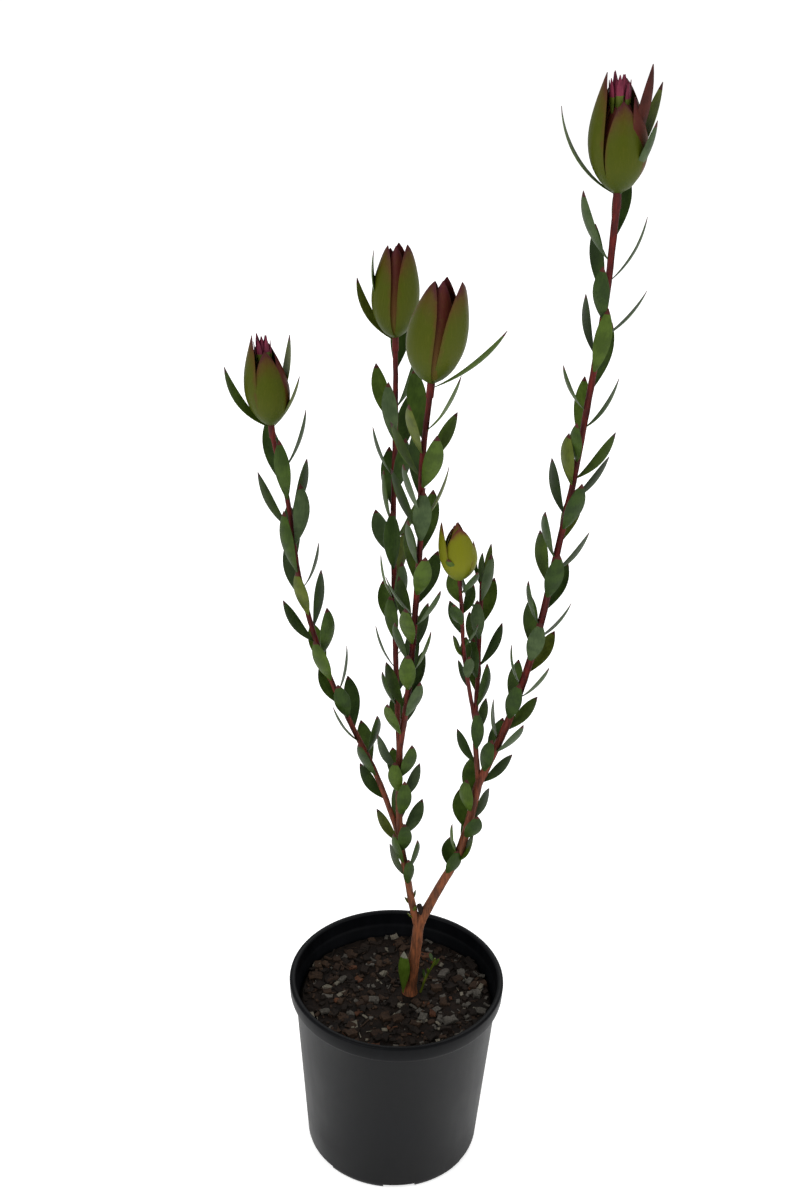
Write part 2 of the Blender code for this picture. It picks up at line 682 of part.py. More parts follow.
    def heads(self):
        """Every head: a short stem, a core, its bracts, the teeth of the inner bracts and the rays."""
        for head in HEADS:
            base = Vector(head.base) * MM
            rise = Vector(head.top) * MM - base
            axis = rise.normalized()
            stem_length = NECK_LENGTH if head.teeth else BUD_NECK_LENGTH
            cup = base + axis * stem_length
            height = rise.length - stem_length
            tip = tuple(cup / MM + axis * 4.0)
            radius = head.stem_radius * MM
            stem = limb(head.name, Path((head.base, tip)), (radius, radius), self.parts)
            core = Bract(cup - axis * MM, axis, 0.0, CORE_HEIGHT * height, 1.0, (head.radius - 0.8) * MM,
                         2.5 * MM, 0.0)
            self.core(core)
            for i, (angle, share, width, tip_share) in enumerate(head.bracts):
                layer = (0.9 - 0.35 * i) * MM
                bract = Bract(cup, axis, radians(angle), share * height, width * MM, head.radius * MM,
                              tip_share * head.radius * MM, layer)
                body_object("bract", blade_body(bract, BRACT_SIDES, BRACT_RINGS), self.joined)
            for i in range(head.teeth):
                angle = 2.0 * pi * (i + 0.3) / head.teeth
                outward = compass(axis, angle)
                foot = cup + axis * TOOTH_FOOT * height + outward * TOOTH_OUT * head.radius * MM
                length = (TOOTH_LENGTH + TOOTH_STEP * (i % 3)) * height
                tooth = Leaf(foot, axis, outward, length, TOOTH_WIDTH, radians(4.0), radians(2.0), 0.0)
                body_object("tooth", blade_body(tooth, LEAF_SIDES, 3), self.joined)
            for angle, drop, length, width, root, end, twist in head.rays:
                ray = Leaf(cup - axis * drop * MM, axis, compass(axis, radians(angle)), length * MM,
                           width * MM, radians(root), radians(end), radians(twist))
                if self.touches(ray, head.name, LEAF_SIDES, LEAF_RINGS):
                    print("ray skipped:", head.name, angle)
                    continue
                body_object("ray", blade_body(ray, LEAF_SIDES, LEAF_RINGS), self.joined)
            boolean(stem, "UNION", self.joined)
            self.finish(keep_largest(stem), self.bract)

    def core(self, core: Bract):
        """The closed inside of a head, which its bracts lie on."""
        body = bmesh.new()
        bmesh.ops.create_uvsphere(body, u_segments=10, v_segments=7, radius=1.0)
        for vertex in body.verts:
            x, y, z = vertex.co
            along = acos(max(-1.0, min(1.0, -z))) / pi
            spine = core.place(along, 0.0, 0.0) - core.base - core.axis * core.height * along
            round_off = sqrt(max(1.0 - z * z, 0.0))
            east = compass(core.axis, 0.0)
            north = core.axis.cross(east)
            flat = (east * x + north * y) * (spine.length / round_off if round_off > 1e-4 else 0.0)
            vertex.co = core.base + core.axis * core.height * along + flat
        body_object("core", body, self.joined)


def main():
    """Builds the pot, its filling, the wood and the leafy stems."""
    builder = Builder()
    builder.pot()
    builder.potting_mix()
    builder.wood()
    builder.foot_leaf()
    builder.shoots()
    bpy.data.collections.remove(builder.joined)


main()
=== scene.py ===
"""A young conebush shrub in its black nursery pot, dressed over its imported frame.

Metres, +Z up. The origin is the centre of the pot's underside. The camera stands
where the photograph was taken from.
"""

import logging
from collections.abc import Callable, Iterator
from contextlib import contextmanager
from dataclasses import dataclass, field
from enum import Enum
from math import cos, hypot, pi, radians, sin, sqrt
from random import Random
from typing import NamedTuple

import bpy
from mathutils import Matrix, Vector, noise
from mathutils.bvhtree import BVHTree
from mathutils.geometry import interpolate_bezier

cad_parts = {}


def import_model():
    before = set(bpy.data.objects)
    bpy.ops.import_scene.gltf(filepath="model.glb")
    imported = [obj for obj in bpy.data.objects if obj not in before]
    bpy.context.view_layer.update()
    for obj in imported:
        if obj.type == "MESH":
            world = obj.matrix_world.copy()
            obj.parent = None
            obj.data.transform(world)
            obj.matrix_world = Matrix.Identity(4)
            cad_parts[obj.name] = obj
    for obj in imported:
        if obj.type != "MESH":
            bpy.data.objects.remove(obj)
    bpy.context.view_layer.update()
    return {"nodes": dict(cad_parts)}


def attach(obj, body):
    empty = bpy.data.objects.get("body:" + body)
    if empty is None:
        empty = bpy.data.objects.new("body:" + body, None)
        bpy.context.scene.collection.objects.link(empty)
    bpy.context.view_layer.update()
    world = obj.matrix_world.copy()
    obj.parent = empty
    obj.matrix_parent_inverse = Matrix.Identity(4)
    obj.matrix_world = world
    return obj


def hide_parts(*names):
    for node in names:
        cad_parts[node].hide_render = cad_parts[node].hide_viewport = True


LOG = logging.getLogger("conebush")
MM = 0.001
UP = Vector((0.0, 0.0, 1.0))
ACROSS = Vector((1.0, 0.0, 0.0))
ROOT = "root"
PATH_STEPS = 12
TINY = 1e-3
CLEARANCE = 0.5 * MM
MERGED = 0.01 * MM  # points nearer than this become one

# Stems
LAP = 0.7 * MM  # by which a stem runs on into its neighbour
STEM_SIDES = 16
STEM_ROW = 2.2 * MM
FEWEST_ROWS = 6
SWELL_SIZE = 2.6 * MM  # how broad the swellings of the bark are
SWELL_SQUEEZE = 0.35  # and how far they are drawn out lengthwise

# Spread of the seeded rule that sets the leaves, in degrees and shares
TURN_SPREAD = 22.0
TILT_SPREAD = 9.0
LENGTH_SPREAD = 0.12
TWIST_SPREAD = 28.0
STEEPER = 11.0  # by which the leaves on the light's side stand steeper
LONGER = 0.14  # and how much longer they are
SLIMMER = 0.92
FOOT_WIDTH = 0.9  # the lowest leaves' width as a share of the highest ones'
PLANT_HEIGHT = 0.7  # metres

# The closed tuft at the tip of a stem that bears no head, in mm and degrees
TUFT_TURN = 137.5
TUFT_PHASE = 40.0
TUFT_LENGTH = 26.0
TUFT_WIDTH = 5.5
TUFT_TILT = 24.0
TUFT_OPENING = 3.0
TUFT_TWIST = 17.1887

# Leaves and bracts
LEAF_GRID = (6, 14)
BRACT_GRID = (10, 20)
EDGE_THINNING = 0.6
BRACT_FOOT = 2.0 * MM
BULGE_SHAPE = 0.72  # under 1, so that a bract bulges below its middle
BULGE_PEAK = 0.5 ** (1.0 / BULGE_SHAPE)
WIDEST_WRAP = 1.25  # radians to each side
TIGHTEST = 0.6  # a bract's least radius as a share of its half width
KEEL = 0.35 * MM
RIM_STEPS = 6  # the steps along a leaf's edges that are tested for clearance

# Heads, in mm where no unit is named
NECK = 8.0 * MM
BUD_NECK = 4.0 * MM
NECK_END = 4.0 * MM  # by which the neck runs on into the cup
OPEN_TEETH = 5  # a head with fewer teeth hides them behind its inner bracts
SIDE_BRACT_WIDTH = 1.3  # how much wider the bracts beside the front one are, so that they lap
LAYER = 0.9  # how far the front bract stands out, and how much less each next one does
LAYER_STEP = 0.35
INNER_WIDTH = 1.3  # as a share of the head's radius
INNER_SINK = 1.3
INNER_TIPS = (2.2, 2.7)
INNER_STEP = 0.25
TOOTH_FOOT = 0.6  # as a share of the head's height, as the lengths are
TOOTH_LENGTHS = (0.33, 0.36, 0.39)
TOOTH_REACH = (0.32, 0.18)  # of the outer and the inner ring, as shares of the radius
TOOTH_WIDTH = 3.4
TOOTH_TILTS = (4.0, 2.0)

Colour = tuple[float, float, float, float]
Place = tuple[float, float, float]
Pair = tuple[float, float]


def linear(red: float, green: float, blue: float) -> Colour:
    """The linear colour that shaders take, from a matched one, 0 to 255."""
    parts = [value / 255.0 for value in (red, green, blue)]
    parts = [p / 12.92 if p <= 0.04045 else ((p + 0.055) / 1.055) ** 2.4 for p in parts]
    return parts[0], parts[1], parts[2], 1.0


def between(pair: Pair, share: float) -> float:
    """The value at a share of the way from a pair's first to its second."""
    return pair[0] + (pair[1] - pair[0]) * share


class Wire:
    """A shader value that adds its own Math nodes when it is used in a sum."""

    def __init__(self, tree: bpy.types.NodeTree, socket: bpy.types.NodeSocket) -> None:
        """Wraps one socket of a tree."""
        self.tree = tree
        self.socket = socket

    def _sum(self, operation: str, first: "Wire | float", second: "Wire | float") -> "Wire":
        """Adds one Math node.

        Args:
            operation: The node's operation.
            first, second: Its values, each a wire or a number.

        Returns:
            The node's result.
        """
        node = self.tree.nodes.new("ShaderNodeMath")
        node.operation = operation
        for socket, value in zip(node.inputs, (first, second)):
            connect(self.tree, socket, value)
        return Wire(self.tree, node.outputs[0])

    def __add__(self, other: "Wire | float") -> "Wire":
        """Self plus other."""
        return self._sum("ADD", self, other)

    def __radd__(self, other: float) -> "Wire":
        """Other plus self."""
        return self._sum("ADD", other, self)

    def __sub__(self, other: "Wire | float") -> "Wire":
        """Self minus other."""
        return self._sum("SUBTRACT", self, other)

    def __mul__(self, other: "Wire | float") -> "Wire":
        """Self times other."""
        return self._sum("MULTIPLY", self, other)

    def __rmul__(self, other: float) -> "Wire":
        """Other times self."""
        return self._sum("MULTIPLY", other, self)

    def __pow__(self, other: float) -> "Wire":
        """Self to the power of other."""
        return self._sum("POWER", self, other)

    def __abs__(self) -> "Wire":
        """The size of self without its sign."""
        return self._sum("ABSOLUTE", self, 0.0)


def connect(tree: bpy.types.NodeTree, socket: bpy.types.NodeSocket, value: Wire | float | Colour) -> None:
    """Gives a socket a wire or a constant."""
    if isinstance(value, Wire):
        tree.links.new(value.socket, socket)
    else:
        socket.default_value = value


class Surface:
    """The node tree of one finish, written as sums."""

    def __init__(self, name: str) -> None:
        """Starts a material that holds one Principled shader."""
        self.material = bpy.data.materials.new(name)
        self.material.use_nodes = True
        self.tree = self.material.node_tree
        self.shader = self.tree.nodes["Principled BSDF"]

    def node(self, kind: str, settings: dict, values: dict) -> bpy.types.Node:
        """Adds any node.

        Args:
            kind: The node's type.
            settings: Its own settings, set first.
            values: What each of its sockets gets, by name or number, a wire or a constant.

        Returns:
            The new node.
        """
        node = self.tree.nodes.new(kind)
        for name, value in settings.items():
            setattr(node, name, value)
        for name, value in values.items():
            connect(self.tree, node.inputs[name], value)
        return node

    def place(self) -> Wire:
        """The point in the object's own space."""
        return Wire(self.tree, self.node("ShaderNodeTexCoord", {}, {}).outputs["Object"])

    def parts_of(self, vector: Wire) -> list[Wire]:
        """The three parts of a vector as wires."""
        node = self.node("ShaderNodeSeparateXYZ", {}, {"Vector": vector})
        return [Wire(self.tree, socket) for socket in node.outputs]

    def blade_place(self) -> list[Wire]:
        """Across and along of a blade's own map, each from 0 to 1."""
        node = self.node("ShaderNodeUVMap", {"uv_map": "UVMap"}, {})
        return self.parts_of(Wire(self.tree, node.outputs["UV"]))

    def noise(self, scale: float, detail: float = 4.0, stretch: Place = (1.0, 1.0, 1.0)) -> Wire:
        """A noise in the object's space.

        Args:
            scale: Its lumps per metre.
            detail: How many finer layers it has.
            stretch: How it is drawn out along the axes.

        Returns:
            A value round 0.5.
        """
        space = self.node("ShaderNodeMapping", {}, {"Vector": self.place(), "Scale": stretch})
        place = Wire(self.tree, space.outputs["Vector"])
        node = self.node("ShaderNodeTexNoise", {}, {"Vector": place, "Scale": scale, "Detail": detail})
        return Wire(self.tree, node.outputs[0])

    def ramp(self, value: Wire, low: float, high: float) -> Wire:
        """A smooth step from 0 at low to 1 at high."""
        ends = {"Value": value, "From Min": low, "From Max": high}
        node = self.node("ShaderNodeMapRange", {"interpolation_type": "SMOOTHSTEP"}, ends)
        return Wire(self.tree, node.outputs[0])

    def mix(self, share: Wire, first: "Wire | Colour", second: "Wire | Colour") -> Wire:
        """A colour between two others.

        Args:
            share: 0 for the first and 1 for the second.
            first, second: Colours or wires of colours.

        Returns:
            The mixed colour.
        """
        node = self.node("ShaderNodeMix", {"data_type": "RGBA"}, {0: share, 6: first, 7: second})
        return Wire(self.tree, node.outputs[2])

    def feed(self, socket: str, value: "Wire | float | Colour") -> None:
        """Gives the shader's socket a wire or a constant."""
        connect(self.tree, self.shader.inputs[socket], value)

    def skin(self, colour: Wire, roughness: Wire, shine: float) -> None:
        """Gives the shader its colour, its roughness and its share of reflected light."""
        self.feed("Base Color", colour)
        self.feed("Roughness", roughness)
        self.feed("Specular IOR Level", shine)

    def relief(self, height: Wire, distance: float, strength: float) -> None:
        """Raises the surface by a height from 0 to 1, distance metres deep."""
        node = self.node("ShaderNodeBump", {}, {"Height": height, "Distance": distance, "Strength": strength})
        self.feed("Normal", Wire(self.tree, node.outputs["Normal"]))


@dataclass(frozen=True)
class Plastic:
    """Moulded charcoal plastic, a little dusty and scuffed."""

    name: str = "pot_plastic"
    dark: Colour = linear(5, 6, 8)
    light: Colour = linear(13, 14, 17)
    dust: Colour = linear(84, 80, 74)

    def build(self) -> bpy.types.Material:
        """Makes the material."""
        surface = Surface(self.name)
        cloud = surface.noise(28.0, 5.0)
        drawn = surface.noise(160.0, 3.0, (1.0, 1.0, 0.12))
        grain = surface.noise(2600.0, 2.0)
        height = surface.parts_of(surface.place())[2]
        dust = surface.ramp(height, 0.050, 0.0) * surface.ramp(cloud, 0.35, 0.7)
        tone = surface.mix(surface.ramp(cloud * 0.6 + drawn * 0.4, 0.36, 0.68), self.dark, self.light)
        tone = surface.mix(dust * 0.06, tone, self.dust)
        surface.skin(tone, 0.34 + 0.14 * cloud + 0.08 * drawn + 0.1 * dust, 0.08)
        surface.relief(grain * 0.6 + drawn * 0.4, 0.05 * MM, 0.35)
        return surface.material


@dataclass(frozen=True)
class Mix:
    """Damp potting mix, or one of its chips."""

    name: str
    dark: Colour
    light: Colour
    relief: float = 0.6

    def build(self) -> bpy.types.Material:
        """Makes the material."""
        surface = Surface(self.name)
        broad = surface.noise(90.0, 6.0)
        fine = surface.noise(900.0, 5.0)
        fibre = surface.noise(500.0, 3.0, (1.0, 0.15, 1.0))
        share = surface.ramp(broad * 0.45 + fine * 0.55, 0.38, 0.66)
        surface.skin(surface.mix(share, self.dark, self.light), 0.72 + 0.25 * fine, 0.12)
        surface.relief(broad * 0.4 + fine * 0.4 + fibre * 0.2, 1.1 * MM, self.relief)
        return surface.material


@dataclass(frozen=True)
class Bark:
    """Young bark, orange-brown below and dark red above, with fine lengthwise cracks."""

    name: str = "bark"
    low: Colour = linear(128, 74, 44)
    low_dark: Colour = linear(78, 46, 28)
    high: Colour = linear(96, 26, 20)
    high_dark: Colour = linear(62, 16, 14)

    def build(self) -> bpy.types.Material:
        """Makes the material."""
        surface = Surface(self.name)
        height = surface.parts_of(surface.place())[2]
        streak = surface.noise(900.0, 4.0, (1.0, 1.0, 0.10))
        patch = surface.noise(260.0, 4.0, (1.0, 1.0, 0.45))
        dark = surface.ramp(streak * 0.55 + patch * 0.45, 0.40, 0.64)
        low = surface.mix(dark, self.low_dark, self.low)
        high = surface.mix(dark, self.high_dark, self.high)
        tone = surface.mix(surface.ramp(height + 0.05 * patch, 0.20, 0.42), low, high)
        surface.skin(tone, 0.50 + 0.28 * patch, 0.20)
        surface.relief(streak * 0.7 + patch * 0.3, 0.35 * MM, 0.7)
        return surface.material


@dataclass(frozen=True)
class Leather:
    """The leathery skin of a leaf in one tone, a little mottled."""

    name: str
    dark: Colour
    light: Colour
    roughness: float = 0.40

    def build(self) -> bpy.types.Material:
        """Makes the material."""
        surface = Surface(self.name)
        mottle = surface.noise(140.0, 3.0)
        vein = surface.noise(1100.0, 3.0, (1.0, 1.0, 0.18))
        share = surface.ramp(mottle * 0.7 + vein * 0.3, 0.36, 0.66)
        surface.skin(surface.mix(share, self.dark, self.light), self.roughness + 0.16 * mottle, 0.13)
        surface.relief(vein, 0.12 * MM, 0.45)
        return surface.material


@dataclass(frozen=True)
class BractSkin:
    """A bract: olive at its foot, flushed with maroon upwards, purple at its point."""

    name: str
    foot: Colour
    middle: Colour
    flush: Colour
    point: Colour
    flush_from: float
    rim: Colour = linear(84, 50, 28)
    rib: Colour = linear(98, 92, 30)

    def build(self) -> bpy.types.Material:
        """Makes the material from the bract's own map."""
        surface = Surface(self.name)
        across, along, _ = surface.blade_place()
        edge = abs(across - 0.5) * 2.0
        mottle = surface.noise(230.0, 4.0)
        rib = surface.noise(1300.0, 3.0, (1.0, 1.0, 0.08))
        reach = along + 0.16 * (mottle - 0.5) + 0.10 * (edge ** 2.0)
        tone = surface.mix(surface.ramp(reach, 0.02, 0.38), self.foot, self.middle)
        tone = surface.mix(surface.ramp(reach, self.flush_from, self.flush_from + 0.36), tone, self.flush)
        tone = surface.mix(surface.ramp(reach, 0.86, 1.02), tone, self.point)
        brown = surface.ramp(edge + 0.5 * (mottle - 0.5), 0.78, 1.08) * surface.ramp(along, 0.15, 0.5)
        tone = surface.mix(brown * 0.55, tone, self.rim)
        tone = surface.mix(surface.ramp(rib, 0.5, 0.75) * 0.16, tone, self.rib)
        surface.skin(tone, 0.40 + 0.2 * mottle, 0.10)
        surface.relief(rib * 0.7 + mottle * 0.3, 0.25 * MM, 0.6)
        return surface.material


@dataclass(frozen=True)
class PaleFloor:
    """A plain pale studio floor."""

    name: str = "pale_floor"
    low: Colour = linear(240, 240, 240)
    high: Colour = linear(245, 245, 244)
    glow: float = 0.60

    def build(self) -> bpy.types.Material:
        """Makes the material."""
        surface = Surface(self.name)
        cloud = surface.noise(1.3, 3.0)
        surface.feed("Base Color", surface.mix(cloud, self.low, self.high))
        surface.feed("Roughness", 0.75 + 0.1 * cloud)
        surface.feed("Emission Color", (1.0, 1.0, 1.0, 1.0))
        surface.feed("Emission Strength", self.glow)
        return surface.material


class Tone(Enum):
    """The tones that leaves and teeth are dealt."""

    DARK = Leather("leaf_dark", linear(32, 50, 10), linear(46, 66, 18))
    DEEP = Leather("leaf_deep", linear(40, 58, 10), linear(56, 76, 20))
    MID = Leather("leaf_mid", linear(52, 70, 12), linear(68, 88, 24))
    # painted sheen: a blue-grey tone, dealt at random to leaves, stands in for the sheen on their upper faces
    BLUE = Leather("leaf_blue", linear(50, 66, 36), linear(68, 84, 50), 0.46)
    OLIVE = Leather("leaf_olive", linear(64, 74, 18), linear(84, 94, 28))
    POINT = Leather("leaf_point", linear(56, 24, 18), linear(76, 34, 26))
    TOOTH = Leather("bract_tooth", linear(84, 26, 44), linear(118, 44, 64))
    DRY = Leather("leaf_dry_tip", linear(96, 96, 84), linear(128, 126, 112))


class Skin(Enum):
    """The skins that bracts are dealt."""

    OLIVE = BractSkin(
        "bract_olive", linear(54, 66, 6), linear(66, 73, 7), linear(78, 56, 18), linear(68, 26, 32), 0.62
    )
    MAROON = BractSkin(
        "bract_maroon", linear(72, 66, 6), linear(80, 52, 18), linear(80, 34, 26), linear(74, 26, 36), 0.40
    )
    YOUNG = BractSkin(
        "bract_young", linear(84, 92, 12), linear(106, 108, 14), linear(104, 78, 24), linear(88, 38, 34), 0.78
    )


class Wooden(Enum):
    """The skins of stems and of the cut stub."""

    BARK = Bark()
    CUT = Mix("cut_stub", linear(20, 15, 13), linear(40, 30, 25), 0.5)


class Chip(Enum):
    """The kinds of chip in the potting mix."""

    BROWN = Mix("chip_brown", linear(34, 24, 18), linear(56, 42, 31))
    BLACK = Mix("chip_black", linear(18, 14, 11), linear(34, 26, 21))
    GREY = Mix("chip_grey", linear(56, 53, 48), linear(84, 80, 74))
    PALE = Mix("chip_pale", linear(80, 76, 66), linear(112, 106, 94), 0.5)
    RED = Mix("chip_red", linear(56, 33, 22), linear(84, 54, 36))


# How often each tone falls to a leaf: the draw that it reaches up to, and olive beyond
DEAL = ((0.30, Tone.DARK), (0.56, Tone.DEEP), (0.76, Tone.MID), (0.92, Tone.BLUE), (2.0, Tone.OLIVE))
HIGHER_PALER = 0.12


class Path:
    """A smooth line through a few points, read at any distance along it."""

    def __init__(self, points: tuple) -> None:
        """Takes points in millimetres."""
        knots = [Vector(point) * MM for point in points]
        tangents = [knots[min(i + 1, len(knots) - 1)] - knots[max(i - 1, 0)] for i in range(len(knots))]
        for i in range(1, len(knots) - 1):
            tangents[i] *= 0.5
        self.points = [knots[0]]
        for i in range(len(knots) - 1):
            handles = (knots[i] + tangents[i] / 3.0, knots[i + 1] - tangents[i + 1] / 3.0)
            self.points += interpolate_bezier(knots[i], *handles, knots[i + 1], PATH_STEPS)[1:]
        self.reach = [0.0]
        for here, there in zip(self.points, self.points[1:]):
            self.reach.append(self.reach[-1] + (there - here).length)
        self.length = self.reach[-1]

    def at(self, distance: float) -> tuple[Vector, Vector]:
        """Reads the line.

        Args:
            distance: Metres from the foot; it may lie a little outside the line.

        Returns:
            The point there and the direction.
        """
        i = 0
        while i < len(self.reach) - 2 and self.reach[i + 1] < distance:
            i += 1
        share = (distance - self.reach[i]) / (self.reach[i + 1] - self.reach[i])
        direction = (self.points[i + 1] - self.points[i]).normalized()
        return self.points[i].lerp(self.points[i + 1], share), direction


def compass(direction: Vector, angle: float) -> Vector:
    """The unit vector square to a direction at a compass angle, 0 at +X."""
    east = (ACROSS - direction * direction.x).normalized()
    return east * cos(angle) + direction.cross(east) * sin(angle)


def deselect() -> None:
    """Leaves edit mode and deselects everything."""
    if bpy.context.object and bpy.context.object.mode != "OBJECT":
        bpy.ops.object.mode_set(mode="OBJECT")
    bpy.ops.object.select_all(action="DESELECT")


def choose(made: bpy.types.Object) -> None:
    """Selects one object alone and makes it the active one."""
    deselect()
    made.select_set(True)
    bpy.context.view_layer.objects.active = made


def named(name: str) -> bpy.types.Object:
    """The object that was just added, under its own name."""
    made = bpy.context.active_object
    made.name = name
    made.data.name = name
    return made


@contextmanager
def editing(choice: str = "SELECT") -> Iterator[None]:
    """Edit mode on the active object, and back.

    Args:
        choice: SELECT or DESELECT for all of it, or nothing to keep what is selected.
    """
    bpy.ops.object.mode_set(mode="EDIT")
    if choice:
        bpy.ops.mesh.select_all(action=choice)
    yield
    bpy.ops.object.mode_set(mode="OBJECT")


def modify(made: bpy.types.Object, kind: str, **settings: object) -> None:
    """Gives the active object a modifier with its settings, and applies it."""
    bpy.ops.object.modifier_add(type=kind)
    modifier = made.modifiers[-1]
    for name, value in settings.items():
        setattr(modifier, name, value)
    bpy.ops.object.modifier_apply(modifier=modifier.name)


@dataclass
class Mould:
    """A shape modelled once: its corners and its faces."""

    corners: list[Vector]
    faces: list[tuple[int, ...]]

    @classmethod
    def taken_from(cls, made: bpy.types.Object) -> "Mould":
        """Reads an object's mesh and removes the object."""
        faces = [tuple(polygon.vertices) for polygon in made.data.polygons]
        mould = cls([vertex.co.copy() for vertex in made.data.vertices], faces)
        bpy.data.objects.remove(made)
        return mould

    @classmethod
    def blade(cls, columns: int, rows: int) -> "Mould":
        """A flat unit blade, closed all round: x across, y along and z through it, each from -1 to 1."""
        deselect()
        bpy.ops.mesh.primitive_grid_add(x_subdivisions=columns, y_subdivisions=rows, size=2.0)
        made = named("blade_mould")
        modify(made, "SOLIDIFY", thickness=2.0, offset=0.0)
        return cls.taken_from(made)

    @classmethod
    def tube(cls, sides: int, rows: int) -> "Mould":
        """A round unit tube with closed ends, its rows cut by subdividing its long edges.

        Args:
            sides: Faces round it.
            rows: Faces along it.

        Returns:
            The mould, with z from 0 to 1 and a radius of 1.
        """
        deselect()
        bpy.ops.mesh.primitive_cylinder_add(vertices=sides, radius=1.0, depth=1.0, location=(0.0, 0.0, 0.5))
        made = named("tube_mould")
        bpy.ops.object.transform_apply(location=True, rotation=False, scale=False)
        with editing("DESELECT"):
            bpy.ops.mesh.select_mode(type="EDGE")
        for edge in made.data.edges:
            low, high = (made.data.vertices[i].co.z for i in edge.vertices)
            edge.select = abs(low - high) > 0.5
        with editing(""):
            bpy.ops.mesh.subdivide(number_cuts=rows - 1)
        return cls.taken_from(made)

    @classmethod
    def lump(cls, squash: Place, seed: float) -> "Mould":
        """A rough chip about 1 across.

        Args:
            squash: Its size along each axis.
            seed: Which rough shape it gets.

        Returns:
            The mould.
        """
        roughness, lumps = 0.16, 2.3
        deselect()
        bpy.ops.mesh.primitive_cube_add(size=1.0)
        made = named("chip_mould")
        with editing(""):
            bpy.ops.mesh.subdivide(number_cuts=2)
            bpy.ops.transform.resize(value=squash)
        for vertex in made.data.vertices:
            vertex.co += noise.noise_vector(vertex.co * lumps + Vector((seed, 0.0, 0.0))) * roughness
        modify(made, "BEVEL", width=0.03)
        return cls.taken_from(made)


def flat_map(corner: Vector) -> Pair:
    """A unit blade's corner in the map, across and along, each from 0 to 1."""
    return 0.5 + 0.5 * corner.x, 0.5 + 0.5 * corner.y


def tipped(body: int, tip: int, start: float) -> Callable:
    """Deals a unit blade one material number, and another from a height of it on."""
    return lambda mean: tip if mean.y > start else body


@dataclass
class Heap:
    """Many placed copies of moulds, gathered into the arrays of one piece."""

    name: str
    corners: list[Vector] = field(default_factory=list)
    faces: list[tuple[int, ...]] = field(default_factory=list)
    slots: list[int] = field(default_factory=list)
    maps: list[Pair] = field(default_factory=list)

    def add(
        self, mould: Mould, placed: Callable, slot: int | Callable = 0, mapped: Callable = flat_map
    ) -> None:
        """Adds one copy.

        Args:
            mould: The shape.
            placed: Gives a corner's place.
            slot: The material number of its faces, or what gives it from a face's mean corner.
            mapped: Gives a corner's place in the map.
        """
        start = len(self.corners)
        self.corners += [placed(corner) for corner in mould.corners]
        for face in mould.faces:
            mean = sum((mould.corners[i] for i in face), Vector()) / len(face)
            self.faces.append(tuple(start + i for i in face))
            self.slots.append(slot(mean) if callable(slot) else slot)
            self.maps += [mapped(mould.corners[i]) for i in face]

    def piece(self, finishes: list[bpy.types.Material], smooth: float = 60.0) -> bpy.types.Object:
        """Makes the piece.

        Args:
            finishes: Its materials in the order of the numbers.
            smooth: Degrees under which an edge is smooth.

        Returns:
            The object at the origin.
        """
        mesh = bpy.data.meshes.new(self.name)
        mesh.from_pydata(self.corners, [], self.faces)
        mesh.polygons.foreach_set("material_index", self.slots)
        layer = mesh.uv_layers.new(name="UVMap")
        layer.data.foreach_set("uv", [value for pair in self.maps for value in pair])
        for finish in finishes:
            mesh.materials.append(finish)
        made = bpy.data.objects.new(self.name, mesh)
        bpy.context.collection.objects.link(made)
        choose(made)
        with editing():
            bpy.ops.mesh.normals_make_consistent(inside=False)
        bpy.ops.object.shade_smooth_by_angle(angle=radians(smooth))
        return made


def settle(piece: bpy.types.Object, nodes: tuple[str, ...]) -> None:
    """Puts a finished piece on the frame, hides the nodes that it replaces and logs its faces.

    Args:
        piece: The piece.
        nodes: The nodes that it replaces.
    """
    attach(piece, ROOT)
    if nodes:
        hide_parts(*nodes)
    LOG.info("%s: %d faces", piece.name, len(piece.data.polygons))


class Blade:
    """What bends the unit blade into a leaf or a bract."""

    thickness = 0.9 * MM
    thin_end = 0.4
    narrowest = 0.25 * MM
    foot = 0.0  # where on the outline's arch its root lies
    bias = 1.3  # over 1, its widest place lies beyond its middle
    fullness = 0.8  # under 1, its outline is fuller than an arch

    def half(self, along: float, width: float) -> float:
        """Half its width at a place, from its greatest width."""
        arch = max(sin(pi * between((self.foot, 1.0), along) ** self.bias), 0.0)
        return max(0.5 * width * arch**self.fullness, self.narrowest)

    def depth(self, along: float, side: float) -> float:
        """Half its thickness at a place."""
        ends = between((self.thin_end, 1.0), sin(pi * along))
        return 0.5 * self.thickness * ends * (1.0 - EDGE_THINNING * side * side)

    def place(self, along: float, side: float, thick: float) -> Vector:
        """A point of the blade.

        Args:
            along: 0 at its root and 1 at its tip.
            side: -1 to 1 across it.
            thick: -1 to 1 through it.

        Returns:
            The point in metres.
        """
        raise NotImplementedError

    def corner(self, point: Vector) -> Vector:
        """The place of a corner of the unit blade."""
        return self.place(0.5 * (point.y + 1.0), point.x, point.z)


@dataclass
class Leaf(Blade):
    """One blade with a narrowed foot, rising from its root and curving in: mm, and degrees from the axis."""

    root: Vector  # in metres
    axis: Vector
    outward: Vector
    length: float
    width: float
    tilts: Pair
    twist: float = 0.0
    cup: float = 0.16

    def place(self, along: float, side: float, thick: float, grow: float = 0.0) -> Vector:
        """A point of the blade, which grow metres widen all round."""
        first, last = (radians(tilt) for tilt in self.tilts)
        bend = last - first
        bend = bend if abs(bend) > TINY else TINY
        tilt = first + bend * along
        spine = self.axis * (sin(tilt) - sin(first)) - self.outward * (cos(tilt) - cos(first))
        middle = self.root + spine * (self.length * MM / bend)
        across = self.axis.cross(self.outward)
        face = self.outward * cos(tilt) - self.axis * sin(tilt)
        half = self.half(along, self.width * MM)
        depth = self.depth(along, side) + grow
        twist = radians(self.twist)
        sideways = across * cos(twist) + face * sin(twist)
        upright = face * cos(twist) - across * sin(twist)
        lift = -self.cup * half * side * side
        return middle + sideways * side * (half + grow) + upright * (thick * depth + lift)


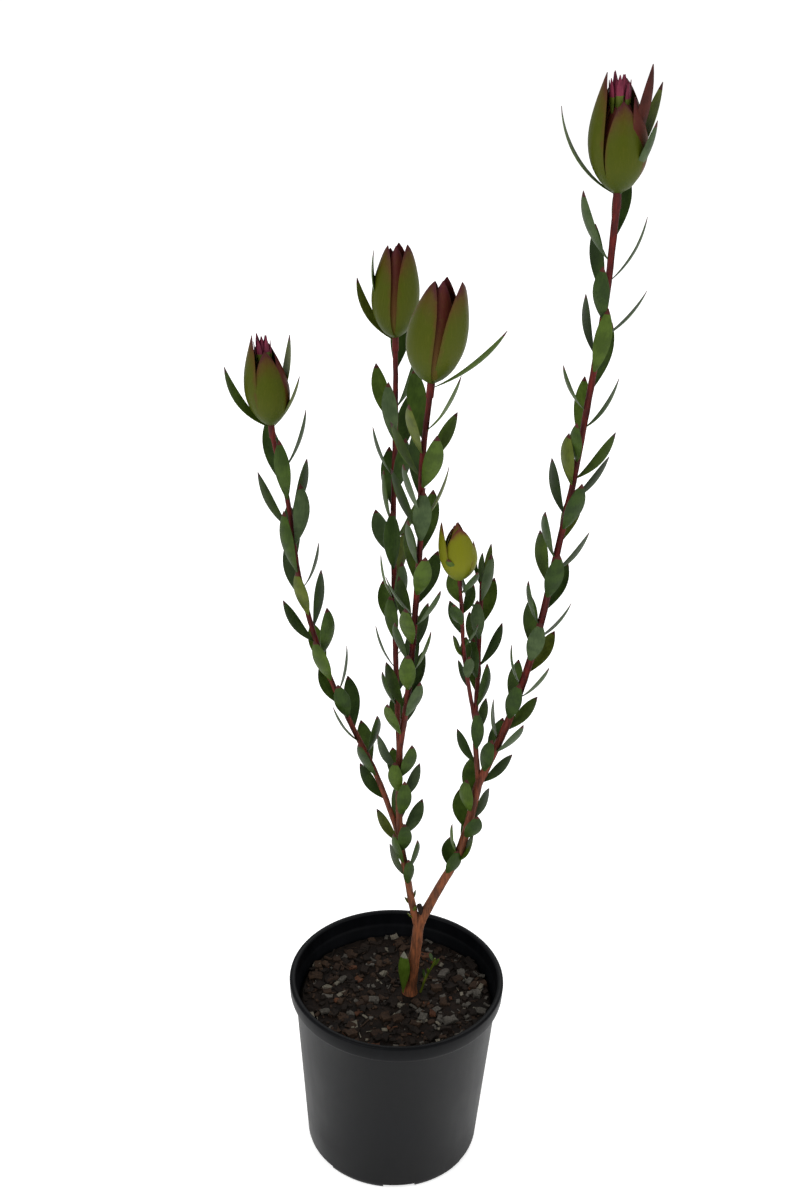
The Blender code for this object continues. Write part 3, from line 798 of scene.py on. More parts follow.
@dataclass
class Seat:
    """Where a head's bracts stand: their foot, the head's direction and its height, in metres."""

    cup: Vector
    axis: Vector
    height: float


@dataclass
class Bract(Blade):
    """One broad blade that wraps its head, in metres and radians."""

    thickness = 1.1 * MM
    thin_end = 0.45
    narrowest = 0.3 * MM
    foot = 0.06
    bias = 0.9
    fullness = 0.75

    seat: Seat
    angle: float
    height: float
    width: float
    radius: float
    tip_radius: float
    layer: float

    def place(self, along: float, side: float, thick: float) -> Vector:
        """A point of the bract."""
        middle = between((BRACT_FOOT, self.tip_radius), along)
        bulge = self.radius - between((BRACT_FOOT, self.tip_radius), BULGE_PEAK)
        middle += bulge * sin(pi * along**BULGE_SHAPE) + self.layer
        half = self.half(along, self.width)
        wrap = min(half / max(middle, TIGHTEST * half), WIDEST_WRAP)
        keel = KEEL * (1.0 - abs(side)) ** 2 * sin(pi * along)
        outward = compass(self.seat.axis, self.angle + wrap * side)
        reach = middle + keel + thick * self.depth(along, side)
        return self.seat.cup + self.seat.axis * self.height * along + outward * reach


@dataclass
class Kit:
    """What the plant's pieces share: moulds, finishes and the frame's nodes."""

    leaf: Mould
    bract: Mould
    finishes: dict[Enum, bpy.types.Material]
    trees: dict[str, BVHTree]

    @classmethod
    def prepared(cls, nodes: dict) -> "Kit":
        """Models the moulds, makes the finishes and reads the frame's nodes by name."""
        finishes = {finish: finish.value.build() for kind in (Tone, Skin, Wooden) for finish in kind}
        trees = {}
        for name, node in nodes.items():
            corners = [vertex.co for vertex in node.data.vertices]
            trees[name] = BVHTree.FromPolygons(corners, [tuple(p.vertices) for p in node.data.polygons])
        return cls(Mould.blade(*LEAF_GRID), Mould.blade(*BRACT_GRID), finishes, trees)

    def piece(self, heap: Heap, finishes: list, slot: str, node: str) -> None:
        """Makes a heap a piece and puts it on the frame.

        Args:
            heap: What is joined.
            finishes: Its finishes in the order of the numbers.
            slot: Not used.
            node: The node that it replaces.
        """
        settle(heap.piece([self.finishes[finish] for finish in finishes]), (node,))

    def touches(self, leaf: Leaf, own: str) -> bool:
        """Whether a leaf comes within the clearance of a node other than its own."""
        corners = []
        for i in range(RIM_STEPS + 1):
            corners += [leaf.place(i / RIM_STEPS, side, 0.0, CLEARANCE) for side in (-1.0, 1.0)]
        faces = [(2 * i, 2 * i + 1, 2 * i + 3, 2 * i + 2) for i in range(RIM_STEPS)]
        tree = BVHTree.FromPolygons(corners, faces)
        return any(name != own and tree.overlap(other) for name, other in self.trees.items())


@dataclass
class Stem:
    """A round tapering stem whose rings are carried along a line, in mm."""

    name: str
    node: str
    points: tuple
    radii: Pair
    relief: float
    finish: Wooden | Tone = Wooden.BARK
    start: float = -LAP
    lap: float = LAP
    even_ends: bool = False  # its laps keep the radii of its ends

    def radius(self, share: float, height: float) -> float:
        """Its radius in mm at a share of its length and a height in metres."""
        return between(self.radii, share)

    def build(self, kit: Kit) -> None:
        """Makes the stem.

        Args:
            kit: The shared finishes.
        """
        path = Path(self.points)
        span = (self.start, path.length + self.lap)
        rows = max(FEWEST_ROWS, round((span[1] - span[0]) / STEM_ROW))

        def placed(corner: Vector) -> Vector:
            """A corner of the tube, carried to its place on the stem."""
            distance = between(span, corner.z)
            middle, direction = path.at(distance)
            east = compass(direction, 0.0)
            outward = east * corner.x + direction.cross(east) * corner.y
            share = distance / path.length
            if self.even_ends:
                share = min(max(share, 0.0), 1.0)
            spot = middle + outward * (self.radius(share, middle.z) * MM)
            grain = Vector((spot.x, spot.y, SWELL_SQUEEZE * spot.z)) / SWELL_SIZE
            return spot + outward * (noise.noise(grain) * self.relief * MM)

        heap = Heap(self.name)
        heap.add(Mould.tube(STEM_SIDES, rows), placed, mapped=lambda corner: (0.5 + 0.5 * corner.x, corner.z))
        settle(heap.piece([kit.finishes[self.finish]], 50.0), (self.node,))


@dataclass
class LeafyStem:
    """One leafy stem: its line, its radii and the rule of its leaves, in mm and degrees."""

    name: str
    points: tuple
    radii: Pair
    phase: float  # the first leaf's compass angle
    turn: float  # from each leaf to the next
    spacing: Pair
    first: float  # the first leaf's distance up the stem
    bare: float  # the leafless length at the top
    length: Pair
    width: float
    tilts: Pair
    rise: float  # how far the leaves follow the upright and not the stem
    seed: int
    tuft: int = 0
    loose: float = 1.0
    finish: Wooden | Tone = Wooden.BARK

    def leaves(self, path: Path) -> Iterator[Leaf]:
        """The leaves by the golden-angle rule, from foot to head.

        Args:
            path: The stem's line.

        Yields:
            Each leaf in its place.
        """
        chance = Random(self.seed)
        distance = self.first * MM
        number = 0
        while distance < path.length - self.bare * MM:
            share = distance / path.length
            root, direction = path.at(distance)
            draws = [self.loose * chance.uniform(-1.0, 1.0) for _ in range(4)]
            axis = (direction * (1.0 - self.rise) + UP * self.rise).normalized()
            outward = compass(direction, radians(self.phase + self.turn * number + TURN_SPREAD * draws[0]))
            outward = (outward - axis * outward.dot(axis)).normalized()
            lit = max(-outward.y, 0.0)
            tilt = TILT_SPREAD * draws[1] - STEEPER * lit
            yield Leaf(
                root,
                axis,
                outward,
                between(self.length, share) * (1.0 + LENGTH_SPREAD * draws[2]) * (1.0 + LONGER * lit),
                self.width * between((FOOT_WIDTH, 1.0), share) * SLIMMER,
                (self.tilts[0] + tilt, self.tilts[1] + tilt),
                TWIST_SPREAD * draws[3],
            )
            distance += between(self.spacing, share) * MM
            number += 1
        for young in range(self.tuft):
            root, direction = path.at(path.length - (2.0 + young) * MM)
            outward = compass(direction, radians(TUFT_PHASE + TUFT_TURN * young))
            tilts = (TUFT_TILT + TUFT_OPENING * young, 2.0)
            yield Leaf(root, direction, outward, TUFT_LENGTH - young, TUFT_WIDTH, tilts, TUFT_TWIST * young)

    def build(self, kit: Kit) -> None:
        """Makes the stem and its joined leaves, without those that would touch a neighbour.

        Args:
            kit: The shared moulds and finishes.
        """
        kind = self.name.removeprefix("foliage_")
        Stem(f"stem_{kind}", self.name, self.points, self.radii, 0.22, self.finish, even_ends=True).build(kit)
        chance = Random(self.seed + 1)
        tones = [tone for _, tone in DEAL] + [Tone.POINT]
        heap = Heap(f"leaves_{kind}")
        for leaf in self.leaves(Path(self.points)):
            draw = chance.random() + HIGHER_PALER * (leaf.root.z / PLANT_HEIGHT - 0.5)
            tone = next(tone for limit, tone in DEAL if draw < limit)
            if not kit.touches(leaf, self.name):
                heap.add(kit.leaf, leaf.corner, tipped(tones.index(tone), tones.index(Tone.POINT), 0.90))
        kit.piece(heap, tones, "leaf", self.name)


class Petal(NamedTuple):
    """An outer bract: its angle, its shares of the head's height and radius, and its width in mm."""

    angle: float
    height: float
    width: float
    tip: float


class Ray(NamedTuple):
    """A long leaf under a head, its root a drop below the bracts' foot, in mm and degrees."""

    angle: float
    drop: float
    length: float
    width: float
    tilts: Pair
    twist: float


@dataclass
class FlowerHead:
    """One goblet of bracts with its teeth and rays, in mm and degrees."""

    name: str
    base: Place
    top: Place
    radius: float
    stem_radius: float
    petals: tuple[Petal, ...]
    teeth: int
    rays: tuple[Ray, ...]
    skins: tuple[Skin, ...]
    inner_phase: float = -84.0
    inner_heights: tuple = (0.97, 0.84, 0.93, 0.88, 0.80)
    purple_ray: int = -1

    def build(self, kit: Kit) -> None:
        """Makes the neck, the bracts, the teeth and the rays.

        Args:
            kit: The shared moulds and finishes.
        """
        base = Vector(self.base) * MM
        rise = Vector(self.top) * MM - base
        axis = rise.normalized()
        neck = NECK if self.teeth else BUD_NECK
        seat = Seat(base + axis * neck, axis, rise.length - neck)
        line = (self.base, tuple((seat.cup + axis * NECK_END) / MM))
        radii = (self.stem_radius, self.stem_radius)
        Stem(f"neck_{self.name}", self.name, line, radii, 0.2, lap=0.0).build(kit)
        self.goblet(kit, seat)
        if self.teeth >= OPEN_TEETH:
            self.crown(kit, seat)
        self.fans(kit, seat)

    def goblet(self, kit: Kit, seat: Seat) -> None:
        """Makes the outer bracts and a ring of closed inner ones.

        Args:
            kit: The shared moulds and finishes.
            seat: Where they stand.
        """
        heap = Heap(f"bracts_{self.name}")
        skins = list(Skin)
        for i, petal in enumerate(self.petals):
            bract = Bract(
                seat,
                radians(petal.angle),
                petal.height * seat.height,
                petal.width * (SIDE_BRACT_WIDTH if i else 1.0) * MM,
                self.radius * MM,
                petal.tip * self.radius * MM,
                (LAYER - LAYER_STEP * i) * MM,
            )
            heap.add(kit.bract, bract.corner, skins.index(self.skins[i % len(self.skins)]))
        for i, share in enumerate(self.inner_heights):
            bract = Bract(
                seat,
                radians(self.inner_phase + 360.0 / len(self.inner_heights) * i),
                share * seat.height,
                INNER_WIDTH * self.radius * MM,
                (self.radius - INNER_SINK) * MM,
                INNER_TIPS[i % 2] * MM,
                -INNER_STEP * i * MM,
            )
            heap.add(kit.bract, bract.corner, skins.index(self.skins[-1]))
        kit.piece(heap, skins, "bract", self.name)

    def crown(self, kit: Kit, seat: Seat) -> None:
        """Makes the two rings of narrow teeth that close the head.

        Args:
            kit: The shared moulds and finishes.
            seat: Where the bracts stand.
        """
        heap = Heap(f"teeth_{self.name}")
        for i in range(2 * self.teeth):
            outward = compass(seat.axis, pi * (i + 0.3) / self.teeth)
            reach = TOOTH_REACH[i % 2] * self.radius * MM
            foot = seat.cup + seat.axis * TOOTH_FOOT * seat.height + outward * reach
            length = TOOTH_LENGTHS[i // 2 % 3] * seat.height / MM
            tooth = Leaf(foot, seat.axis, outward, length, TOOTH_WIDTH, TOOTH_TILTS)
            heap.add(kit.leaf, tooth.corner, tipped(1, 0, 0.1))
        kit.piece(heap, [Tone.TOOTH, Tone.OLIVE], "bract", self.name)

    def fans(self, kit: Kit, seat: Seat) -> None:
        """Makes the long leaves that ray out from the head's foot.

        Args:
            kit: The shared moulds and finishes.
            seat: Where the bracts stand.
        """
        tones = [Tone.OLIVE, Tone.MID, Tone.BLUE, Tone.POINT]
        heap = Heap(f"rays_{self.name}")
        for i, ray in enumerate(self.rays):
            root = seat.cup - seat.axis * ray.drop * MM
            outward = compass(seat.axis, radians(ray.angle))
            leaf = Leaf(root, seat.axis, outward, ray.length, ray.width, ray.tilts, ray.twist)
            number = 3 if i == self.purple_ray else (1, 0, 0, 2)[i % 4]
            heap.add(kit.leaf, leaf.corner, tipped(number, 3, 0.86))
        kit.piece(heap, tones, "bract", self.name)


@dataclass
class Trunk(Stem):
    """The trunk, which flares at its foot."""

    soil: float = 116.3
    flare_height: float = 9.0
    flare: float = 1.6

    def radius(self, share: float, height: float) -> float:
        """Its radius in mm at a share of its length and a height in metres."""
        up = max(height / MM - self.soil, 0.0)
        return between(self.radii, share) + self.flare * max(1.0 - up / self.flare_height, 0.0) ** 2


@dataclass
class Wood:
    """The trunk with its cut stub, and the two limbs of its fork, in mm and degrees."""

    trunk: tuple = (
        (8.6, 3.9, 112.0), (10.2, 3.1, 130.0), (12.2, 1.9, 158.0), (13.6, 0.9, 175.0), (18.0, 0.0, 187.6)
    )
    stub: tuple = ((15.4, 0.0, 183.0), (12.9, -1.8, 192.0))
    left: tuple = ((13.0, 1.0, 172.0), (10.6, 0.4, 181.0), (7.4, 0.0, 197.0))
    right: tuple = ((18.2, 0.0, 187.9), (21.4, 0.0, 196.0), (25.4, 0.0, 205.5))
    scales: tuple = ((8.0, 200.0), (14.0, -60.0), (19.0, 170.0), (23.0, 20.0))  # distances and angles
    scale_size: Pair = (8.0, 3.0)
    scale_tilts: Pair = (48.0, 14.0)

    def build(self, kit: Kit) -> None:
        """Makes the wood and the tiny leaves along the left limb.

        Args:
            kit: The shared moulds and finishes.
        """
        Trunk("trunk_bark", "trunk", self.trunk, (4.0, 3.3), 0.35, start=4.6 * MM).build(kit)
        Stem("trunk_stub", "trunk", self.stub, (1.9, 1.71), 0.2, Wooden.CUT, 0.0, 0.0).build(kit)
        Stem("bough_left", "limb_left", self.left, (2.6, 2.3), 0.25).build(kit)
        Stem("bough_right", "limb_right", self.right, (3.2, 2.95), 0.25).build(kit)
        path = Path(self.left)
        heap = Heap("scale_leaves")
        for distance, angle in self.scales:
            root, direction = path.at(distance * MM)
            outward = compass(direction, radians(angle))
            heap.add(kit.leaf, Leaf(root, direction, outward, *self.scale_size, self.scale_tilts).corner)
        kit.piece(heap, [Tone.OLIVE], "leaf", "limb_left")


@dataclass
class FootLeaf:
    """The old leaf with a pale tip that stands against the trunk's left side, in mm and degrees."""

    root: Place = (4.6, -1.4, 119.5)
    angle: float = 250.0
    length: float = 35.0
    width: float = 8.0
    tilts: Pair = (3.0, 0.0)
    cup: float = 0.3
    pale_from: float = 0.74

    def build(self, kit: Kit) -> None:
        """Makes the leaf."""
        outward = compass(UP, radians(self.angle))
        leaf = Leaf(Vector(self.root) * MM, UP, outward, self.length, self.width, self.tilts, 0.0, self.cup)
        heap = Heap("old_leaf")
        heap.add(kit.leaf, leaf.corner, tipped(0, 1, self.pale_from))
        kit.piece(heap, [Tone.MID, Tone.DRY], "leaf", "foot_leaf")


@dataclass
class Pot:
    """The nursery pot: one turned wall with a rolled lip, a rim band and drainage notches, in mm."""

    height: float = 133.0
    rim: float = 70.0
    band: float = 11.5
    lip: float = 4.0
    roll: float = 1.4
    body: float = 66.0
    base: float = 56.8
    wall: float = 1.6
    floor: float = 2.0
    notches: int = 6
    notch: Place = (21.0, 3.5, 52.0)  # width, height and how far in it starts
    notch_reach: float = 6.0  # by which the cutter stands out of the foot
    notch_turn: float = -84.0
    steps: int = 160
    smooth: float = 38.0

    def profile(self) -> list[Pair]:
        """The wall's outline from the middle of the floor, up the inside and down the outside.

        Returns:
            Pairs of radius and height.
        """
        under = self.height - self.band
        slope = (self.body - self.base) / under
        inner = self.rim - self.lip
        low = self.base - self.wall
        top = self.height - self.roll
        line = [(0.0, self.floor), (low - 1.5, self.floor), (low + slope * 4.0, 4.0)]
        line += [(self.body - self.wall, under), (inner - 0.6, under + 1.4)]
        line += [(inner, under + 3.0), (inner, top)]
        middle = (inner + self.rim) / 2.0
        for i in range(1, 10):
            angle = pi - pi * i / 10.0
            line.append((middle + self.lip / 2.0 * cos(angle), top + self.roll * sin(angle)))
        line += [(self.rim, self.height - 1.6), (self.rim - 0.5, under + 2.0), (self.rim - 0.8, under + 0.8)]
        line += [(self.rim - 1.3, under + 0.1), (self.rim - 2.0, under - 0.1), (self.body + 0.5, under - 0.2)]
        line += [(self.body, under - 0.9), (self.base + slope * 5.0, 5.0), (self.base - 0.1, 3.2)]
        line += [(self.base - 0.7, 1.6), (self.base - 1.6, 0.5), (self.base - 2.8, 0.0), (0.0, 0.0)]
        return line

    def build(self) -> None:
        """Draws the outline by extruding one point, turns it, cuts the notches and finishes the pot."""
        spots = [Vector((radius, 0.0, height)) * MM for radius, height in self.profile()]
        deselect()
        bpy.ops.mesh.primitive_plane_add(size=1.0 * MM)
        made = named("pot_shell")
        with editing():
            bpy.ops.mesh.merge(type="CENTER")
            bpy.ops.transform.translate(value=spots[0])
            for here, there in zip(spots, spots[1:]):
                bpy.ops.mesh.extrude_region_move(TRANSFORM_OT_translate={"value": there - here})
        steps = {"steps": self.steps, "render_steps": self.steps}
        modify(made, "SCREW", **steps, use_merge_vertices=True, merge_threshold=MERGED)
        with editing():
            bpy.ops.mesh.remove_doubles(threshold=MERGED)
            bpy.ops.mesh.normals_make_consistent(inside=False)
        self.cut_notches(made)
        made.data.materials.clear()
        made.data.materials.append(Plastic().build())
        choose(made)
        bpy.ops.object.shade_smooth_by_angle(angle=radians(self.smooth))
        settle(made, ("pot",))

    def cut_notches(self, made: bpy.types.Object) -> None:
        """Cuts the drainage notches out of the pot's foot.

        Args:
            made: The turned pot.
        """
        width, height, inner = self.notch
        reach = self.base + self.notch_reach - inner
        for i in range(self.notches):
            deselect()
            bpy.ops.mesh.primitive_cube_add(size=1.0)
            block = named(f"notch_block_{i}")
            turn = Matrix.Rotation(radians(self.notch_turn) + i * 2.0 * pi / self.notches, 4, "Z")
            block.matrix_world = turn @ Matrix.Translation(Vector((inner + 0.5 * reach, 0.0, 0.0)) * MM)
            block.scale = Vector((reach, width, 2.0 * height)) * MM
            bpy.context.view_layer.update()
            bpy.context.view_layer.objects.active = made
            modify(made, "BOOLEAN", operation="DIFFERENCE", solver="EXACT", object=block)
            bpy.data.objects.remove(block)


@dataclass
class PottingMix:
    """The filling with its rough top and its chips, in mm."""

    level: float = 116.0
    bottom: float = 2.3
    low_radius: float = 54.9
    top_radius: float = 63.4
    grid: tuple[int, int] = (150, 60)  # round and outwards
    edge_dip: float = 4.0
    edge_from: float = 0.97
    foot: Pair = (9.0, 3.7)  # where the trunk stands, with a calm ring round it
    calm: float = 9.0
    calm_edge: float = 6.0
    bare: float = 7.5  # no chip lies nearer to the trunk
    rough: tuple = ((1.5, 14.0), (0.8, 3.6), (0.4, 1.5))  # heights and sizes of the top's lumps
    lift: float = 0.3
    chips: int = 900
    chip_turn: float = 2.39996  # the golden angle in radians
    chip_size: float = 1.8
    chip_growth: float = 5.4  # the most that the draw adds to the size
    chip_tilt: float = 0.35  # radians
    chip_lift: float = 0.10  # as a share of its size
    seed: int = 7
    grey_from: float = 12.0  # grey chips lie mostly on this side
    seen: tuple = (
        (-45.7, 5.1, 6.0, Chip.PALE),
        (-29.3, 26.2, 5.5, Chip.RED),
        (-19.7, -22.1, 4.0, Chip.PALE),
        (-22.4, -39.3, 4.0, Chip.PALE),
        (-2.1, -32.7, 6.0, Chip.RED),
        (35.3, -23.5, 9.0, Chip.GREY),
        (43.3, 23.3, 8.0, Chip.GREY),
        (31.9, 22.8, 8.0, Chip.GREY),
        (55.6, 6.7, 3.5, Chip.PALE),
    )

    def away(self, x: float, y: float) -> float:
        """How far a place is from the trunk's foot."""
        return hypot(x - self.foot[0], y - self.foot[1])

    def top_at(self, x: float, y: float) -> float:
        """The height of the rough top at a place."""
        spot = Vector((x, y, 0.0))
        lumps = sum(height * noise.noise(spot / size) for height, size in self.rough)
        share = min(max((self.away(x, y) - self.calm) / self.calm_edge, 0.0), 1.0)
        return self.level + self.lift + share * lumps

    def build(self) -> None:
        """Bends a grid to a round rough top, draws its rim down to the bottom, and strews the chips."""
        deselect()
        bpy.ops.mesh.primitive_grid_add(x_subdivisions=self.grid[0], y_subdivisions=self.grid[1], size=2.0)
        made = named("mix_bed")
        for vertex in made.data.vertices:
            angle = pi * (vertex.co.x + 1.0)
            share = 0.5 * (vertex.co.y + 1.0)
            x, y = (self.top_radius * share * part for part in (cos(angle), sin(angle)))
            dip = self.edge_dip * max(share - self.edge_from, 0.0) / (1.0 - self.edge_from)
            vertex.co = Vector((x, y, self.top_at(x, y) - dip)) * MM
        narrow = self.low_radius / self.top_radius
        drop = (self.bottom - self.level + self.edge_dip) * MM
        with editing():
            bpy.ops.mesh.remove_doubles(threshold=0.02 * MM)
            bpy.ops.mesh.select_all(action="DESELECT")
            bpy.ops.mesh.select_mode(type="EDGE")
            bpy.ops.mesh.select_non_manifold()
            bpy.ops.mesh.extrude_region_move(TRANSFORM_OT_translate={"value": (0.0, 0.0, drop)})
            bpy.ops.transform.resize(value=(narrow, narrow, 1.0), center_override=(0.0, 0.0, 0.0))
            bpy.ops.mesh.edge_face_add()
            bpy.ops.mesh.select_all(action="SELECT")
            bpy.ops.mesh.normals_make_consistent(inside=False)
        made.data.materials.append(Mix("potting_mix", linear(10, 7, 5), linear(30, 21, 15), 0.9).build())
        bpy.ops.object.shade_smooth_by_angle(angle=radians(60.0))
        settle(made, ("potting_mix",))
        self.strew()

    def scattered(self, chance: Random) -> Iterator[tuple[float, float, float, Chip]]:
        """The chips' places, sizes and kinds: a spiral of small ones, then those that stand out.

        Args:
            chance: The seeded draw.

        Yields:
            Across, away, size and kind.
        """
        dealt = [Chip.BROWN] * 11 + [Chip.BLACK] * 12 + [Chip.GREY] * 2 + [Chip.RED] + [Chip.PALE]
        for i in range(self.chips):
            radius = (self.top_radius - 3.0) * sqrt((i + 0.5) / self.chips)
            angle = self.chip_turn * i + chance.uniform(-0.5, 0.5)
            size = self.chip_size + self.chip_growth * chance.random() ** 2.0
            kind = chance.choice(dealt)
            if kind is Chip.BROWN and radius * cos(angle) > self.grey_from and chance.random() < 0.4:
                kind = Chip.GREY
            yield radius * cos(angle), radius * sin(angle), size, kind
        yield from self.seen

    def strew(self) -> None:
        """Joins the chips, each a turned copy of one of a few moulds whose roughness is seeded too."""
        chance = Random(self.seed)
        noise.seed_set(self.seed)
        flake = Mould.lump((1.0, 0.62, 0.34), 0.0)
        sliver = Mould.lump((1.0, 0.34, 0.24), 4.0)
        block = Mould.lump((1.0, 0.8, 0.5), 9.0)
        splinter = Mould.lump((1.3, 0.16, 0.12), 15.0)
        moulds = (flake, flake, sliver, block, splinter)
        kinds = list(Chip)
        heap = Heap("mix_chips")
        for x, y, size, kind in list(self.scattered(chance)):
            turn = Matrix.Rotation(chance.uniform(0.0, 2.0 * pi), 4, "Z")
            turn = turn @ Matrix.Rotation(chance.uniform(-self.chip_tilt, self.chip_tilt), 4, "X")
            mould = chance.choice(moulds)
            if self.away(x, y) < self.bare + 0.5 * size:
                continue
            spot = Vector((x, y, self.top_at(x, y) + self.chip_lift * size)) * MM
            heap.add(
                mould,
                lambda corner, spot=spot, turn=turn, size=size: spot + (turn @ corner) * size * MM,
                kinds.index(kind),
                lambda corner: (0.5 + 0.4 * corner.x, 0.5 + 0.4 * corner.y),
            )
        settle(heap.piece([kind.value.build() for kind in kinds], 40.0), ())


@dataclass
class Studio:
    """The pale floor, the soft lights and the camera of the photograph."""

    stand: Place = (-0.00609, -0.90339, 0.88924)
    pitch: float = 27.892
    roll: float = 1.713
    lens: float = 52.775
    sensor: float = 36.0
    floor_size: float = 16.0
    floor_drop: float = 0.2 * MM
    aim: Place = (0.0, 0.0, 0.35)
    glow: float = 0.50
    lamps: tuple = (  # name, place, side in metres, watts
        ("key", (-1.3, -1.5, 2.1), 1.6, 26.0),
        ("fill", (1.6, -1.0, 1.3), 1.4, 10.0),
        ("back", (0.4, 1.7, 1.9), 1.5, 18.0),
    )

    def build(self) -> None:
        """Makes the floor, the lights, the white surroundings and the camera."""
        deselect()
        bpy.ops.mesh.primitive_plane_add(size=self.floor_size, location=(0.0, 0.0, -self.floor_drop))
        floor = named("studio_floor")
        bpy.ops.object.transform_apply(location=True, rotation=False, scale=False)
        floor.data.materials.append(PaleFloor().build())
        for name, spot, size, power in self.lamps:
            deselect()
            bpy.ops.object.light_add(type="AREA", location=spot)
            lamp = named(f"light_{name}")
            lamp.data.size = size
            lamp.data.energy = power
            lamp.rotation_euler = (Vector(self.aim) - Vector(spot)).to_track_quat("-Z", "Y").to_euler()
        world = bpy.data.worlds.new("studio_white")
        world.use_nodes = True
        sky = world.node_tree.nodes["Background"].inputs
        sky["Color"].default_value = (1.0, 1.0, 1.0, 1.0)
        sky["Strength"].default_value = self.glow
        bpy.context.scene.world = world
        bpy.context.scene.view_settings.view_transform = "Standard"
        self.camera()

    def camera(self) -> None:
        """Stands the camera where the photograph was taken from."""
        pitch, roll = radians(self.pitch), radians(self.roll)
        ahead = Vector((0.0, cos(pitch), -sin(pitch)))
        up = ACROSS.cross(ahead)
        level_right = ACROSS * cos(roll) + up * sin(roll)
        level_up = up * cos(roll) - ACROSS * sin(roll)
        deselect()
        bpy.ops.object.camera_add(location=self.stand)
        camera = named("photo_camera")
        turn = Matrix((level_right, level_up, -ahead)).transposed().to_4x4()
        camera.matrix_world = Matrix.Translation(Vector(self.stand)) @ turn
        camera.data.sensor_width = self.sensor
        camera.data.lens = self.lens
        camera.data.clip_start = 0.01
        bpy.context.scene.camera = camera


STEMS = (
    LeafyStem(
        "foliage_middle_lower",
        ((7.3, 0.0, 197.4), (4.2, 0.0, 216.0), (-0.4, 0.0, 241.7), (-2.2, 0.0, 274.4), (-2.7, 0.0, 307.2)),
        (2.3, 2.0), phase=279.0, turn=-141.4, spacing=(5.1, 5.8), first=9.7, bare=9.4,
        length=(24.0, 29.0), width=10.4, tilts=(50.0, 8.0), rise=0.23, seed=9380,
    ),
    LeafyStem(
        "foliage_left",
        ((-0.7, 0.0, 242.7), (-16.0, 3.8, 285.6), (-35.6, 8.4, 327.0), (-52.9, 13.3, 369.3),
         (-64.8, 18.6, 413.3), (-71.6, 24.1, 458.5), (-80.9, 29.6, 498.5)),
        (1.8, 1.4), phase=219.0, turn=-136.8, spacing=(8.5, 9.2), first=2.9, bare=10.0,
        length=(27.0, 40.0), width=11.4, tilts=(46.0, 6.0), rise=0.45, seed=2719,
    ),
    LeafyStem(
        "foliage_front",
        ((-2.65, 0.0, 307.6), (1.7, -6.9, 358.1), (3.6, -15.1, 409.1), (5.0, -24.2, 459.9),
         (4.4, -34.2, 510.6), (7.0, -44.0, 555.0)),
        (1.95, 1.6), phase=230.0, turn=-141.1, spacing=(6.7, 7.9), first=12.0, bare=6.0,
        length=(30.0, 42.0), width=11.7, tilts=(43.0, 11.0), rise=0.22, seed=9048,
    ),
    LeafyStem(
        "foliage_rear",
        ((-2.7, 0.0, 304.0), (-6.1, 7.9, 356.2), (-8.6, 17.3, 405.3), (-10.6, 27.5, 454.2),
         (-10.8, 38.5, 503.1), (-12.1, 49.0, 546.0)),
        (1.7, 1.5), phase=248.0, turn=-136.1, spacing=(7.5, 10.9), first=9.4, bare=8.8,
        length=(26.0, 40.0), width=11.8, tilts=(46.0, 7.0), rise=0.23, seed=1200457,
    ),
    LeafyStem(
        "foliage_right_lower",
        ((25.5, 0.0, 205.8), (32.0, 0.0, 220.5), (37.1, 0.0, 234.7), (42.3, 0.0, 258.9), (45.9, 0.0, 283.4)),
        (2.9, 2.7), phase=273.0, turn=-139.4, spacing=(6.0, 6.8), first=9.6, bare=2.4,
        length=(21.0, 32.0), width=11.7, tilts=(48.0, 0.0), rise=0.45, seed=8865,
    ),
    LeafyStem(
        "foliage_right_middle",
        ((46.0, 0.0, 283.8), (62.5, -3.0, 334.7), (74.4, -6.6, 387.9), (81.6, -10.5, 441.8),
         (88.3, -14.8, 495.9)),
        (2.6, 1.8), phase=15.0, turn=-141.4, spacing=(8.2, 9.6), first=1.7, bare=2.0,
        length=(29.0, 36.0), width=11.6, tilts=(47.0, 8.0), rise=0.03, seed=31, loose=0.1,
    ),
    LeafyStem(
        "foliage_right_upper",
        ((88.35, -14.83, 496.3), (92.8, -19.5, 550.1), (96.6, -24.5, 604.3), (97.4, -29.3, 653.0)),
        (1.8, 1.9), phase=12.0, turn=-133.9, spacing=(10.5, 10.8), first=1.0, bare=10.8,
        length=(34.0, 43.0), width=10.5, tilts=(49.0, 9.0), rise=0.0, seed=6627,
    ),
    LeafyStem(
        "foliage_inner",
        ((46.0, 0.0, 288.5), (42.6, 3.4, 321.9), (42.9, 8.4, 352.5), (42.7, 14.0, 383.0),
         (42.9, 20.0, 413.5)),
        (1.7, 1.3), phase=148.0, turn=133.5, spacing=(10.0, 7.4), first=10.0, bare=11.3,
        length=(27.0, 30.0), width=9.5, tilts=(45.0, 3.0), rise=0.25, seed=657, tuft=4,
    ),
    LeafyStem(
        "foliage_bud",
        ((42.6, 7.2, 324.8), (37.5, 1.2, 352.9), (33.1, -6.0, 380.9), (30.7, -13.8, 409.0),
         (28.4, -21.2, 433.0)),
        (1.3, 1.1), phase=234.0, turn=137.3, spacing=(9.3, 8.3), first=9.0, bare=2.9,
        length=(17.0, 23.0), width=8.5, tilts=(44.0, 14.0), rise=0.38, seed=2030,
    ),
    LeafyStem(
        "foot_sprout",
        ((16.3, 3.9, 116.6), (17.6, 3.4, 122.0), (19.4, 2.8, 130.0), (23.6, 2.0, 141.0), (24.6, 1.6, 146.0)),
        (0.9, 0.7), phase=120.0, turn=137.5, spacing=(6.5, 5.0), first=11.0, bare=1.0,
        length=(7.0, 9.0), width=2.8, tilts=(50.0, 20.0), rise=0.30, seed=12, finish=Tone.OLIVE,
    ),
)

